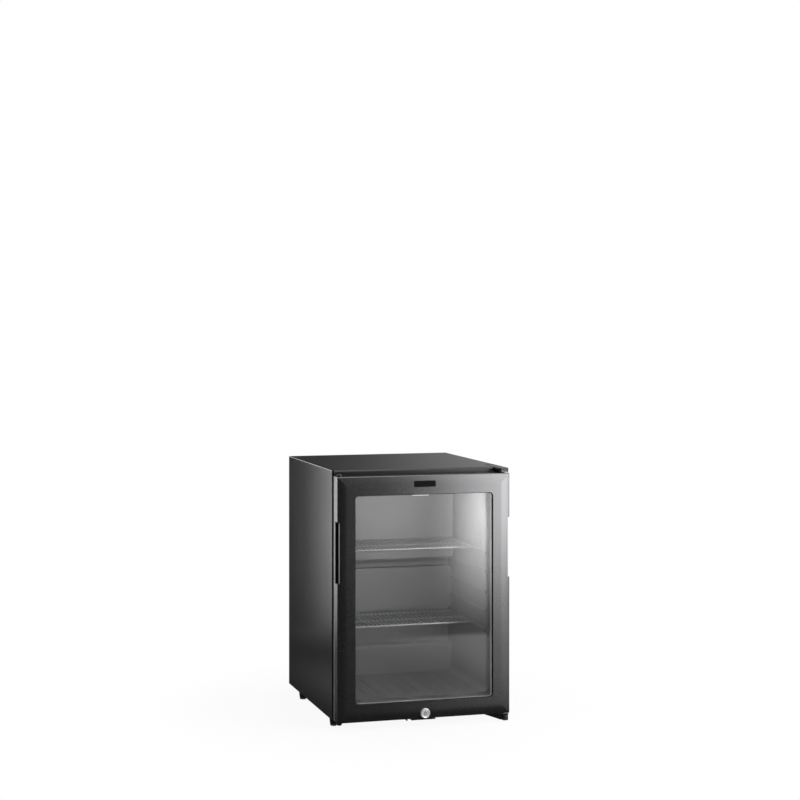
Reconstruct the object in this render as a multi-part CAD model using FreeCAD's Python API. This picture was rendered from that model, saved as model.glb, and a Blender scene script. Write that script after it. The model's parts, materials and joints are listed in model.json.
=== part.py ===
import FreeCAD, Part
import math
import os

V = FreeCAD.Vector

# Cabinet as a whole
CABINET_WIDTH = 402.0
CABINET_DEPTH = 404.0
CABINET_HEIGHT = 553.0
FOOT_HEIGHT = 16.0

# Gaps and cutters
CLEARANCE = 0.3
PRESS_GAP = 0.05
OVERRUN = 6.0
JOIN_TOLERANCE = 0.0001
FULL_TURN = 360.0

# Steel side panels, folded on all four edges
SHEET = 1.0
SIDE_FLANGE = 12.0
TOP_LIP = 3.0
FOLD_RADIUS = 2.0

# Top panel with its front nose and the two hinge pockets
TOP_THICKNESS = 14.0
TOP_SKIN = 3.0
NOSE_REACH = 6.0
NOSE_RADIUS = 5.0
REAR_EDGE_RADIUS = 2.0
POCKET_WIDTH = 22.0
POCKET_LENGTH = 57.0
POCKET_FLOOR = 4.5
HOLLOW_START = 70.0

# Insulated walls, from the outer face to the compartment
SIDE_WALL = 38.0
TOP_WALL = 44.0
BOTTOM_WALL = 44.0
REAR_WALL = 44.0

# Moulded liner
COMPARTMENT_DEPTH = 276.0
LINER_THICKNESS = 2.0
LINER_CORNER_RADIUS = 10.0
LEDGE_HEIGHT_SHARE = 0.1484
LEDGE_DEPTH = 27.0
LEDGE_RADIUS = 8.0
RAISED_START_SHARE = 0.3247
RAISED_HEIGHT_SHARE = 0.215
RAISED_DEPTH = 24.0
RAISED_RADIUS = 10.0
RIB_COUNT = 5
RIB_FIRST_SHARE = 0.3032
RIB_PITCH_SHARE = 0.0944
RIB_HEIGHT = 4.0
RIB_REACH = 5.0
RIB_START = 6.0
RIB_END_GAP = 1.0
FLOOR_RIB_COUNT = 10
FLOOR_RIB_PITCH_SHARE = 0.0951
FLOOR_RIB_WIDTH = 4.0
FLOOR_RIB_HEIGHT = 1.2
FLOOR_RIB_START = 48.0
FLOOR_RIB_LENGTH = 150.0

# Cold end inside the compartment
COVER_STANDOFF = 47.0
COVER_START_SHARE = 0.5935
COVER_TOP_GAP = 8.0
COVER_SIDE_GAP = 1.0
COVER_THICKNESS = 2.0
COVER_BEND_RADIUS = 5.0
FIN_SIDE_GAP = 45.0
FIN_PLATE_THICKNESS = 3.0
FIN_START_SHARE = 0.615
FIN_HEIGHT_SHARE = 0.344
FIN_COUNT = 16
FIN_THICKNESS = 1.6
FIN_REACH = 34.0
GUTTER_GAP = 3.0
GUTTER_REACH = 21.0
GUTTER_HEIGHT = 9.0
GUTTER_WALL = 1.6
GUTTER_SIDE_GAP = 12.0

# Lamp under the front of the ceiling
LAMP_WIDTH = 36.0
LAMP_OFFSET = 7.0
LAMP_DEPTH = 30.0
LAMP_HEIGHT = 18.0
LAMP_SETBACK = 4.0
LAMP_WALL = 1.8
LAMP_RADIUS = 3.0
LENS_THICKNESS = 2.0
BOARD_THICKNESS = 1.6
BOARD_LIFT = 7.0

# Wire shelves
SHELF_DEPTH = 160.0
SHELF_BACK_GAP = 3.0
SHELF_SIDE_GAP = 3.0
MIDDLE_RAIL_SHARE = 0.45
RAIL_RADIUS = 2.3
WIRE_RADIUS = 1.3
WIRE_END_GAP = 10.0
WIRE_COUNT = 31
WELD_DEPTH = 0.5

# Feet
FOOT_INSET = 10.0
FOOT_FRONT = 23.0
FOOT_REAR = 18.0
FOOT_TOP_RADIUS = 9.5
FOOT_TIP_RADIUS = 7.5
FOOT_EDGE_RADIUS = 1.5
FOOT_STEM_RADIUS = 3.0
FOOT_STEM_LENGTH = 8.0

# Door as a whole
DOOR_THICKNESS = 35.0
DOOR_GAP = 11.0
DOOR_SIDE_INSET = 0.5
DOOR_RISE = 2.5
DOOR_DROP = 11.5

# Door bezel, a tray with a crowned border round the window
FRAME_SIDE = 40.0
FRAME_TOP = 41.5
FRAME_BOTTOM = 38.5
WINDOW_RADIUS = 9.0
CROWN_WIDTH = 21.0
CROWN_DROP = 3.0
BEZEL_EDGE_RADIUS = 1.5
BEZEL_DEPTH = 27.5
BEZEL_WALL = 3.0
BEZEL_SKIN = 3.0
LIP_THICKNESS = 3.5

# Double glazing
SEAL_THICKNESS = 1.0
SEAL_SHOW = 1.6
GLASS_THICKNESS = 4.0
GLASS_COVER = 9.0
GLASS_CORNER_RADIUS = 3.0
SPACER_WIDTH = 6.5
SPACER_INSET = 1.0
SPACER_CORNER_RADIUS = 4.0

# Inner frame that clamps the panes and carries the gasket
INNER_INSET = 0.6
INNER_REVEAL = 2.0
INNER_RADIUS = 8.0
REBATE_WALL = 2.5
REBATE_GAP = 0.5

# Magnetic gasket
GASKET_INSET = 11.5
GASKET_WIDTH = 15.0
GASKET_BASE = 2.0
GASKET_WEB = 1.6
GASKET_HEAD = 5.0
GASKET_DART_WIDTH = 3.0
GASKET_DART_DEPTH = 4.0
GASKET_DART_START = 6.0
MAGNET_THICKNESS = 2.2
MAGNET_WIDTH = 10.5

# Finger grips in both door edges
GRIP_START_SHARE = 0.5668
GRIP_LENGTH_SHARE = 0.2505
GRIP_NOTCH = 4.5
GRIP_REACH = 21.0
GRIP_BACK = 20.0
GRIP_WALL = 1.6
GRIP_NOTCH_RADIUS = 3.0

# Bare plate above the window
PLATE_WIDTH = 50.0
PLATE_HEIGHT = 13.5
PLATE_RISE = 16.0
PLATE_THICKNESS = 1.4
PLATE_RECESS = 0.8
PLATE_RADIUS = 2.0

# Hinges
HINGE_INSET = 7.5
HINGE_SETBACK = 13.0
PIN_RADIUS = 2.5
RUNNING_GAP = 0.05
BUSH_RADIUS = 4.2
BUSH_LENGTH = 12.0
BUSH_FLANGE_RADIUS = 6.0
BOSS_RADIUS = 6.2
BOSS_LENGTH = 13.0
PIN_DEPTH = 10.0
PIN_HEAD_RADIUS = 5.0
PIN_HEAD = 1.8
ARM_THICKNESS = 3.0
ARM_FRONT = 8.0
ARM_FRONT_RADIUS = 6.0
ARM_SIDE_MARGIN = 0.8
ARM_REAR_MARGIN = 6.0
CAP_EDGE_RADIUS = 2.0
BRACKET_THICKNESS = 2.5
BRACKET_BASE_WIDTH = 60.0
BRACKET_BASE_LENGTH = 40.0
BRACKET_BASE_START = 6.0
BRACKET_FOOT_GAP = 5.0
BRACKET_TIP_RADIUS = 7.5
BRACKET_FLANGE = 11.0
BRACKET_FLANGE_LENGTH = 46.0
BRACKET_CORNER_RADIUS = 4.0
HINGE_FOOT_RADIUS = 7.5
HINGE_FOOT_LIFT = 1.0
HINGE_FOOT_FLOOR = 3.0
HINGE_FOOT_SHOULDER = 4.0

# Blanking plugs in the bush holes of the other side
PLUG_RADIUS = 5.5
PLUG_DOME = 6.0
PLUG_STEM = 9.0

# Lock in the bottom rail
LOCK_PROUD = 5.0
LOCK_RISE = 12.3
LOCK_FACE_RADIUS = 11.0
LOCK_RIM = 1.6
LOCK_DISH_RADIUS = 7.6
LOCK_DISH_DEPTH = 1.2
LOCK_BODY_RADIUS = 6.2
LOCK_BODY_DEPTH = 18.0
LOCK_NUT_RADIUS = 8.8
LOCK_NUT = 4.0
NUT_SIDES = 6
CORE_RADIUS = 4.2
CORE_PROUD = 0.5
CORE_TAIL_HALF = 2.4
KEY_RING_RADIUS = 3.0
KEY_RING_INNER = 1.7
KEY_DEPTH = 5.0
KEY_NOTCH = 1.4
CAM_THICKNESS = 2.0
CAM_HUB_RADIUS = 5.5
CAM_TIP = 0.7
CAM_WIDTH = 9.0
CAM_SCREW_RADIUS = 3.0
CAM_SCREW = 1.8
CAM_SLOT_MARGIN = 2.0

# Keeper plate under the cabinet that the lock turns into
KEEPER_HALF = 28.0
KEEPER_THICKNESS = 2.0
KEEPER_LENGTH = 70.0
KEEPER_REACH = 36.0
KEEPER_FLANGE = 9.0

# Screws that hold the hinges and the keeper
SCREW_RADIUS = 2.0
SCREW_HEAD_RADIUS = 4.0
SCREW_HEAD = 2.2
SCREW_EDGE = 9.0

# Cooling unit in the open recess behind the rear panel
UNIT_SETBACK = 42.0
TUBE_RADIUS = 8.0
TUBE_WALL = 1.5
TUBE_BEND = 26.0
TUNNEL_GAP = 0.3
BOILER_SIDE_SHARE = 0.607
BOILER_RADIUS = 32.0
BOILER_START = 82.0
BOILER_HEIGHT_SHARE = 0.5063
BOILER_EDGE_RADIUS = 8.0
CASING_WALL = 1.0
CONDENSER_DROP = 69.0
CONDENSER_END_SHARE = 0.4577
VANE_COUNT = 15
VANE_START_SHARE = 0.3284
VANE_PITCH_SHARE = 0.0428
VANE_THICKNESS = 1.0
VANE_HALF = 26.0
VANE_RADIUS = 5.0
COIL_SIDE_SHARE = 0.6667
COIL_INNER_SHARE = 0.2587
COIL_TOP_SHARE = 0.6727
COIL_FIRST_SHARE = 0.575
COIL_PITCH_SHARE = 0.076
COIL_PASSES = 5
COIL_BEND_SHARE = 0.476
VESSEL_RADIUS = 28.0
VESSEL_START_SHARE = 0.3284
VESSEL_LENGTH_SHARE = 1.1542
VESSEL_RISE = 62.0
VESSEL_EDGE_RADIUS = 14.0
VESSEL_WALL = 2.0
LIQUID_RADIUS = 6.0
LIQUID_BEND = 14.0
STRAP_THICKNESS = 2.0
STRAP_BAND = 9.0
STRAP_FOOT = 18.0
SADDLE_MARGIN = 14.0
COLLAR_SHARES = (0.25, 0.8)

# Control box with its cable gland
BOX_SIDE_GAP = 12.0
BOX_WIDTH = 64.0
BOX_DROP = 51.0
BOX_HEIGHT_SHARE = 0.1519
BOX_DEPTH = 36.0
BOX_WALL = 2.0
BOX_RADIUS = 4.0
BOX_LID = 3.0
GLAND_RADIUS = 7.0
GLAND_LENGTH = 9.0
GLAND_BORE = 3.6
GLAND_COLLAR_RADIUS = 8.5
GLAND_COLLAR = 3.0

# Places that follow from the sizes above
HALF = CABINET_WIDTH / 2
DOOR_HALF = HALF - DOOR_SIDE_INSET
TOTAL_DEPTH = LOCK_PROUD + DOOR_THICKNESS + DOOR_GAP + CABINET_DEPTH
DOOR_FRONT = LOCK_PROUD - TOTAL_DEPTH / 2
DOOR_BACK = DOOR_FRONT + DOOR_THICKNESS
CABINET_FRONT = DOOR_BACK + DOOR_GAP
CABINET_BACK = CABINET_FRONT + CABINET_DEPTH
BASE_Z = FOOT_HEIGHT
TOP_Z = BASE_Z + CABINET_HEIGHT
LID_Z = TOP_Z - TOP_THICKNESS
LID_HALF = HALF - TOP_LIP - CLEARANCE
POCKET_Z = LID_Z + POCKET_FLOOR
DOOR_BOTTOM = BASE_Z + DOOR_RISE
DOOR_TOP = TOP_Z - DOOR_DROP
INNER_HALF = HALF - SIDE_WALL
FLOOR_Z = BASE_Z + BOTTOM_WALL
CEILING_Z = TOP_Z - TOP_WALL
LINER_FRONT = CABINET_FRONT
FLANGE_BACK = LINER_FRONT + LINER_THICKNESS
INNER_BACK = CABINET_FRONT + COMPARTMENT_DEPTH
REAR_FACE = INNER_BACK + REAR_WALL
FLANGE_HALF = HALF - SIDE_FLANGE - CLEARANCE
WINDOW_HALF = DOOR_HALF - FRAME_SIDE
WINDOW_LOW = DOOR_BOTTOM + FRAME_BOTTOM
WINDOW_HIGH = DOOR_TOP - FRAME_TOP
HOLLOW_FRONT = DOOR_FRONT + CROWN_DROP + BEZEL_SKIN
BEZEL_BACK = DOOR_FRONT + BEZEL_DEPTH
OUTER_GLASS_Y = DOOR_FRONT + LIP_THICKNESS + SEAL_THICKNESS
INNER_GLASS_Y = BEZEL_BACK - GLASS_THICKNESS
HINGE_X = DOOR_HALF - HINGE_INSET
HINGE_Y = DOOR_FRONT + HINGE_SETBACK
LOCK_Z = DOOR_BOTTOM + LOCK_RISE
CAM_Y = DOOR_FRONT + LOCK_BODY_DEPTH + CLEARANCE
CAM_REACH = LOCK_Z - BASE_Z + KEEPER_THICKNESS + CAM_TIP
GRIP_LOW = DOOR_BOTTOM + GRIP_START_SHARE * (DOOR_TOP - DOOR_BOTTOM)
GRIP_LENGTH = GRIP_LENGTH_SHARE * (DOOR_TOP - DOOR_BOTTOM)
GRIP_HIGH = GRIP_LOW + GRIP_LENGTH
ROOM_HEIGHT = CEILING_Z - FLOOR_Z
LEDGE_HEIGHT = LEDGE_HEIGHT_SHARE * ROOM_HEIGHT
RAISED_START = RAISED_START_SHARE * ROOM_HEIGHT
RAISED_HEIGHT = RAISED_HEIGHT_SHARE * ROOM_HEIGHT
RIB_FIRST = RIB_FIRST_SHARE * ROOM_HEIGHT
RIB_PITCH = RIB_PITCH_SHARE * ROOM_HEIGHT
FLOOR_RIB_PITCH = FLOOR_RIB_PITCH_SHARE * 2 * INNER_HALF
FIN_PLATE_HALF = INNER_HALF - FIN_SIDE_GAP
FIN_PLATE_START = FIN_START_SHARE * ROOM_HEIGHT
FIN_PLATE_HEIGHT = FIN_HEIGHT_SHARE * ROOM_HEIGHT
UNIT_Y = REAR_FACE + UNIT_SETBACK
COVER_FRONT = INNER_BACK - COVER_STANDOFF
COVER_LOW = FLOOR_Z + COVER_START_SHARE * ROOM_HEIGHT
BOILER_X = -BOILER_SIDE_SHARE * HALF
BOILER_HEIGHT = BOILER_HEIGHT_SHARE * CABINET_HEIGHT
CONDENSER_Z = LID_Z - CONDENSER_DROP
CONDENSER_END = CONDENSER_END_SHARE * HALF
VANE_START = -VANE_START_SHARE * HALF
VANE_PITCH = VANE_PITCH_SHARE * HALF
COIL_X = COIL_SIDE_SHARE * HALF
COIL_INNER_X = -COIL_INNER_SHARE * HALF
COIL_Z = BASE_Z + COIL_TOP_SHARE * CABINET_HEIGHT
COIL_FIRST_Z = BASE_Z + COIL_FIRST_SHARE * CABINET_HEIGHT
COIL_PITCH = COIL_PITCH_SHARE * CABINET_HEIGHT
COIL_BEND = COIL_BEND_SHARE * COIL_PITCH
VESSEL_Z = BASE_Z + VESSEL_RISE
VESSEL_START = -VESSEL_START_SHARE * HALF
VESSEL_LENGTH = VESSEL_LENGTH_SHARE * HALF
BOX_X = (HALF - SHEET - BOX_SIDE_GAP - BOX_WIDTH, HALF - SHEET - BOX_SIDE_GAP)
BOX_HIGH = LID_Z - BOX_DROP
BOX_LOW = BOX_HIGH - BOX_HEIGHT_SHARE * CABINET_HEIGHT


def span(middle, half):
    """The two ends of a stretch of the given half length about a middle."""
    return (middle - half, middle + half)


def grown(stretch, extra):
    """The same stretch, longer by the extra at both ends."""
    return (stretch[0] - extra, stretch[1] + extra)


def block(x, y, z):
    """A box between two values on each axis."""
    return Part.makeBox(x[1] - x[0], y[1] - y[0], z[1] - z[0], V(x[0], y[0], z[0]))


def rod(start, end, radius):
    """A round bar from one point to another."""
    run = end - start
    return Part.makeCylinder(radius, run.Length, start, run)


def rounded_edges(points, radii, closed):
    """Straight runs through the points, with a tangent arc at each corner that has a radius."""
    count = len(points)
    arrive = list(points)
    leave = list(points)
    arcs = {}
    for i in range(count) if closed else range(1, count - 1):
        if radii[i] == 0:
            continue
        back = (points[i - 1] - points[i]).normalize()
        ahead = (points[(i + 1) % count] - points[i]).normalize()
        half_turn = back.getAngle(ahead) / 2
        cut = radii[i] / math.tan(half_turn)
        arrive[i] = points[i] + back * cut
        leave[i] = points[i] + ahead * cut
        inward = (back + ahead).normalize()
        middle = points[i] + inward * (radii[i] / math.sin(half_turn) - radii[i])
        arcs[i] = Part.Arc(arrive[i], middle, leave[i]).toShape()
    edges = []
    for i in range(count):
        if i in arcs:
            edges.append(arcs[i])
        following = (i + 1) % count
        joined = closed or i < count - 1
        if joined and leave[i].distanceToPoint(arrive[following]) > JOIN_TOLERANCE:
            edges.append(Part.LineSegment(leave[i], arrive[following]).toShape())
    return edges


def prism(points, radii, sweep):
    """A flat outline with rounded corners, pushed along a straight line."""
    wire = Part.Wire(rounded_edges(points, radii, True))
    return Part.Face(wire).extrude(sweep)


def upright_plate(x, z, y, radius):
    """A plate that faces the front, with its four corners rounded alike."""
    points = [V(x[0], y[0], z[0]), V(x[1], y[0], z[0]), V(x[1], y[0], z[1]), V(x[0], y[0], z[1])]
    return prism(points, [radius] * 4, V(0, y[1] - y[0], 0))


def bar_along(points, bends, radius):
    """A round bar along straight runs that are joined by tangent bends."""
    path = Part.Wire(rounded_edges(points, bends, False))
    ring = Part.Wire([Part.makeCircle(radius, points[0], points[1] - points[0])])
    return path.makePipeShell([ring], True, False)


def tube(points, bends, radius):
    """A round tube along the same kind of path, open at both ends."""
    return bar_along(points, bends, radius).cut(bar_along(points, bends, radius - TUBE_WALL))


def turned(profile, radii, base, axis):
    """A solid turned about an axis from a profile of (radius, height) points."""
    side = V(1, 0, 0) if axis.x == 0 else V(0, 0, 1)
    points = [base + side * r + axis * h for r, h in profile]
    return Part.Face(Part.Wire(rounded_edges(points, radii, True))).revolve(base, axis, FULL_TURN)


def mitred_frame(outline, depth, half, low, high):
    """A rectangular frame whose section is drawn inwards from its edge, mitred at the corners.

    The outline is a list of edges in (inset, y) points: two points for a line, three for an arc.
    """
    sides = (
        (lambda u, y, s: V(s, y, low + u), (-half, half), V(1, 0, 0)),
        (lambda u, y, s: V(s, y, high - u), (-half, half), V(1, 0, 0)),
        (lambda u, y, s: V(-half + u, y, s), (low, high), V(0, 0, 1)),
        (lambda u, y, s: V(half - u, y, s), (low, high), V(0, 0, 1)),
    )
    inset = max(u for edge in outline for u, y in edge)
    frame = None
    for place, run, along in sides:
        edges = []
        for edge in outline:
            points = [place(u, y, run[0]) for u, y in edge]
            curve = Part.Arc(*points) if len(points) == 3 else Part.LineSegment(*points)
            edges.append(curve.toShape())
        bar = Part.Face(Part.Wire(edges)).extrude(along * (run[1] - run[0]))
        corners = [place(0, depth[0], run[0]), place(0, depth[0], run[1])]
        corners += [place(inset, depth[0], run[1] - inset), place(inset, depth[0], run[0] + inset)]
        wedge = prism(corners, [0] * 4, V(0, depth[1] - depth[0], 0))
        bar = bar.common(wedge)
        frame = bar if frame is None else frame.fuse(bar)
    return frame.removeSplitter()


def polygon_outline(points):
    """The straight edges of a closed section, for a mitred frame."""
    return [(points[i], points[(i + 1) % len(points)]) for i in range(len(points))]


def upright_hole(point, radius):
    """The hole through a level sheet for a pin or screw of the given radius."""
    return rod(point - V(0, 0, OVERRUN), point + V(0, 0, OVERRUN), radius + PRESS_GAP)


def mirrored(shape):
    """The same shape on the other side of the cabinet's middle."""
    return shape.mirror(V(0, 0, 0), V(1, 0, 0))


# Cabinet shell

def side_panel():
    """A pressed steel side with folded edges, open towards the foam."""
    outer = block((HALF - SIDE_FLANGE, HALF), (CABINET_FRONT, CABINET_BACK), (BASE_Z, TOP_Z))
    rim = [edge for edge in outer.Edges if edge.BoundBox.XMin > HALF - JOIN_TOLERANCE]
    outer = outer.makeFillet(FOLD_RADIUS, rim)
    room_x = (HALF - SIDE_FLANGE - OVERRUN, HALF - SHEET)
    room_y = grown((CABINET_FRONT, CABINET_BACK), -SHEET)
    panel = outer.cut(block(room_x, room_y, grown((BASE_Z, TOP_Z), -SHEET)))
    for_lid_y = grown((CABINET_FRONT, CABINET_BACK), OVERRUN)
    for_lid_z = (LID_Z, TOP_Z + OVERRUN)
    panel = panel.cut(block((room_x[0], HALF - TOP_LIP), for_lid_y, for_lid_z))
    for centre in foot_centres().values():
        panel = panel.cut(foot_stem_hole(centre))
    return panel


def top_panel():
    """A moulded lid: rounded nose in front, hollow below, a pocket for each hinge cap."""
    front = CABINET_FRONT - NOSE_REACH
    section = [
        V(-LID_HALF, front, LID_Z),
        V(-LID_HALF, CABINET_BACK, LID_Z),
        V(-LID_HALF, CABINET_BACK, TOP_Z),
        V(-LID_HALF, front, TOP_Z),
    ]
    lid = prism(section, [0, 0, REAR_EDGE_RADIUS, NOSE_RADIUS], V(2 * LID_HALF, 0, 0))
    hollow_y = (CABINET_FRONT + HOLLOW_START, CABINET_BACK - TOP_SKIN)
    hollow = block(span(0, LID_HALF - TOP_SKIN), hollow_y, (LID_Z - OVERRUN, TOP_Z - TOP_SKIN))
    pocket_x = (LID_HALF - POCKET_WIDTH, LID_HALF + OVERRUN)
    pocket = block(pocket_x, (front - OVERRUN, front + POCKET_LENGTH), (POCKET_Z, TOP_Z + OVERRUN))
    lid = lid.cut(hollow).cut(pocket).cut(mirrored(pocket))
    for point in arm_screw_points():
        lid = lid.cut(rod(point - V(0, 0, SCREW_EDGE), point, SCREW_RADIUS + PRESS_GAP))
    return lid


def base_panel():
    """The steel floor pan between the folded lower edges of the sides."""
    pan = block(span(0, FLANGE_HALF), (FLANGE_BACK, REAR_FACE - SHEET), (BASE_Z, BASE_Z + SHEET))
    for point in bracket_screw_points() + keeper_screw_points():
        pan = pan.cut(upright_hole(point, SCREW_RADIUS))
    for centre in foot_centres().values():
        pan = pan.cut(foot_stem_hole(centre))
    return pan


def tunnel(x, z, radius):
    """The round way through the rear wall for a tube of the cooling unit."""
    start = V(x, INNER_BACK - OVERRUN, z)
    return rod(start, V(x, REAR_FACE + OVERRUN, z), radius + TUNNEL_GAP)


def tunnels():
    """The ways for the feed and the return of the cold end."""
    feed = tunnel(CONDENSER_END, CONDENSER_Z, TUBE_RADIUS)
    back = tunnel(COIL_X, COIL_Z, TUBE_RADIUS)
    return (feed, back)


def rear_panel():
    """The steel back of the insulated box, at the front of the open recess."""
    panel = block(span(0, HALF - SHEET), (REAR_FACE - SHEET, REAR_FACE), (BASE_Z + SHEET, LID_Z))
    for way in tunnels():
        panel = panel.cut(way)
    for point in strap_screw_points():
        panel = panel.cut(rod(point - V(0, SHEET + OVERRUN, 0), point, SCREW_RADIUS + PRESS_GAP))
    return panel


def compartment():
    """The air space of the compartment, with its rounded long edges and stepped back wall."""
    x = span(0, INNER_HALF)
    z = (FLOOR_Z, CEILING_Z)
    room = upright_plate(x, z, (LINER_FRONT - OVERRUN, INNER_BACK), LINER_CORNER_RADIUS)
    return room.cut(ledge(0)).cut(raised_panel(0))


def ledge(inset):
    """The step at the foot of the back wall, made smaller by an inset for its foam side."""
    front = INNER_BACK - LEDGE_DEPTH + inset
    back = INNER_BACK + LINER_THICKNESS + OVERRUN
    low = FLOOR_Z - OVERRUN + inset
    high = FLOOR_Z + LEDGE_HEIGHT - inset
    points = [V(0, front, low), V(0, back, low), V(0, back, high), V(0, front, high)]
    points = [p - V(INNER_HALF + OVERRUN, 0, 0) for p in points]
    return prism(points, [0, 0, 0, LEDGE_RADIUS - inset], V(2 * (INNER_HALF + OVERRUN), 0, 0))


def raised_panel(inset):
    """The raised field of the back wall below the cold plate."""
    x = span(0, INNER_HALF - inset)
    z = grown((FLOOR_Z + RAISED_START, FLOOR_Z + RAISED_START + RAISED_HEIGHT), -inset)
    y = (INNER_BACK - RAISED_DEPTH + inset, INNER_BACK + LINER_THICKNESS + OVERRUN)
    return upright_plate(x, z, y, RAISED_RADIUS - inset)


def liner_envelope():
    """The liner with its inside filled, as the foam sees it."""
    x = span(0, INNER_HALF + LINER_THICKNESS)
    z = grown((FLOOR_Z, CEILING_Z), LINER_THICKNESS)
    y = (LINER_FRONT, INNER_BACK + LINER_THICKNESS)
    body = upright_plate(x, z, y, LINER_CORNER_RADIUS + LINER_THICKNESS)
    low_pocket = ledge(LINER_THICKNESS)
    inside_x = span(0, INNER_HALF)
    keep = block(inside_x, grown(y, OVERRUN), (FLOOR_Z, CEILING_Z))
    return body.cut(low_pocket.common(keep)).cut(raised_panel(LINER_THICKNESS))


def rib_top(level):
    """The height that a shelf rests at on a pair of ribs."""
    return FLOOR_Z + RIB_FIRST + level * RIB_PITCH


def wall_behind(level):
    """The foremost part of the back wall at a pair of ribs: the step, or the cold plate's cover."""
    return COVER_FRONT if rib_top(level) > COVER_LOW else INNER_BACK - LEDGE_DEPTH


def shelf_rib(level):
    """One moulded ledge on the right wall for a shelf to slide on."""
    top = rib_top(level)
    wall = INNER_HALF + LINER_THICKNESS / 2
    tip = INNER_HALF - RIB_REACH
    start = LINER_FRONT + RIB_START
    points = [
        V(wall, start, top - RIB_HEIGHT - RIB_REACH / 2),
        V(tip, start, top - RIB_HEIGHT),
        V(tip, start, top),
        V(wall, start, top),
    ]
    end = wall_behind(level) - RIB_END_GAP
    return prism(points, [0] * 4, V(0, end - start, 0))


def floor_rib(number):
    """One low rib on the floor that lets melted frost run off."""
    middle = (number - (FLOOR_RIB_COUNT - 1) / 2) * FLOOR_RIB_PITCH
    start = LINER_FRONT + FLOOR_RIB_START
    x = span(middle, FLOOR_RIB_WIDTH / 2)
    z = (FLOOR_Z - LINER_THICKNESS / 2, FLOOR_Z + FLOOR_RIB_HEIGHT)
    points = [V(x[0], start, z[0]), V(x[1], start, z[0]), V(x[1], start, z[1]), V(x[0], start, z[1])]
    return prism(points, [0, 0, FLOOR_RIB_HEIGHT, FLOOR_RIB_HEIGHT], V(0, FLOOR_RIB_LENGTH, 0))


def inner_liner():
    """The moulded tub with its front flange, shelf ribs and floor ribs."""
    flange = block(span(0, FLANGE_HALF), (LINER_FRONT, FLANGE_BACK), (BASE_Z, LID_Z - CLEARANCE))
    tub = liner_envelope().fuse(flange).cut(compartment())
    ribs = []
    for level in range(RIB_COUNT):
        rib = shelf_rib(level)
        ribs += [rib, mirrored(rib)]
    ribs += [floor_rib(number) for number in range(FLOOR_RIB_COUNT)]
    tub = tub.fuse(ribs).removeSplitter()
    for way in tunnels():
        tub = tub.cut(way)
    return tub


def insulation_foam():
    """The foam between the steel shell and the liner."""
    x = span(0, HALF - SHEET)
    foam = block(x, (FLANGE_BACK, REAR_FACE - SHEET), (BASE_Z + SHEET, LID_Z))
    foam = foam.cut(liner_envelope())
    for way in tunnels():
        foam = foam.cut(way)
    for centre in foot_centres().values():
        foam = foam.cut(foot_stem_hole(centre))
    return foam


# Feet

def foot_centres():
    """Where the four feet stand."""
    x = HALF - FOOT_INSET
    front = CABINET_FRONT + FOOT_FRONT
    rear = REAR_FACE - FOOT_REAR
    return {
        "foot_front_left": V(-x, front, 0),
        "foot_front_right": V(x, front, 0),
        "foot_rear_left": V(-x, rear, 0),
        "foot_rear_right": V(x, rear, 0),
    }


def foot_stem_hole(centre):
    """The hole that a foot's stem is pushed into."""
    start = centre + V(0, 0, FOOT_HEIGHT - OVERRUN)
    end = centre + V(0, 0, FOOT_HEIGHT + FOOT_STEM_LENGTH + CLEARANCE)
    return rod(start, end, FOOT_STEM_RADIUS + PRESS_GAP)


def foot(centre):
    """A tapered foot, turned, with a stem that pushes into the floor pan."""
    stem_top = FOOT_HEIGHT + FOOT_STEM_LENGTH
    profile = [
        (0, 0),
        (FOOT_TIP_RADIUS, 0),
        (FOOT_TOP_RADIUS, FOOT_HEIGHT),
        (FOOT_STEM_RADIUS, FOOT_HEIGHT),
        (FOOT_STEM_RADIUS, stem_top),
        (0, stem_top),
    ]
    return turned(profile, [0, FOOT_EDGE_RADIUS, 0, 0, 0, 0], centre, V(0, 0, 1))


# Cold end and lamp inside the compartment

def evaporator_fins():
    """The cold plate on the back wall with its row of upright fins, one extruded section."""
    back = INNER_BACK
    root = back - FIN_PLATE_THICKNESS
    low = FLOOR_Z + FIN_PLATE_START
    pitch = (2 * FIN_PLATE_HALF - FIN_THICKNESS) / (FIN_COUNT - 1)
    points = [V(FIN_PLATE_HALF, back, low), V(-FIN_PLATE_HALF, back, low)]
    for number in range(FIN_COUNT):
        left = -FIN_PLATE_HALF + number * pitch
        right = left + FIN_THICKNESS
        points += [V(left, root, low)] if number else []
        points += [V(left, root - FIN_REACH, low), V(right, root - FIN_REACH, low)]
        points += [V(right, root, low)] if number < FIN_COUNT - 1 else []
    return prism(points, [0] * len(points), V(0, 0, FIN_PLATE_HEIGHT))


def evaporator_cover():
    """The smooth cover over the fins, open below and above so that air falls through."""
    half = INNER_HALF - COVER_SIDE_GAP
    inner = half - COVER_THICKNESS
    low = COVER_LOW
    inside = COVER_FRONT + COVER_THICKNESS
    bend = COVER_BEND_RADIUS - COVER_THICKNESS
    points = [
        V(-half, INNER_BACK, low),
        V(-half, COVER_FRONT, low),
        V(half, COVER_FRONT, low),
        V(half, INNER_BACK, low),
        V(inner, INNER_BACK, low),
        V(inner, inside, low),
        V(-inner, inside, low),
        V(-inner, INNER_BACK, low),
    ]
    radii = [0, COVER_BEND_RADIUS, COVER_BEND_RADIUS, 0, 0, bend, bend, 0]
    return prism(points, radii, V(0, 0, CEILING_Z - COVER_TOP_GAP - low))


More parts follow.
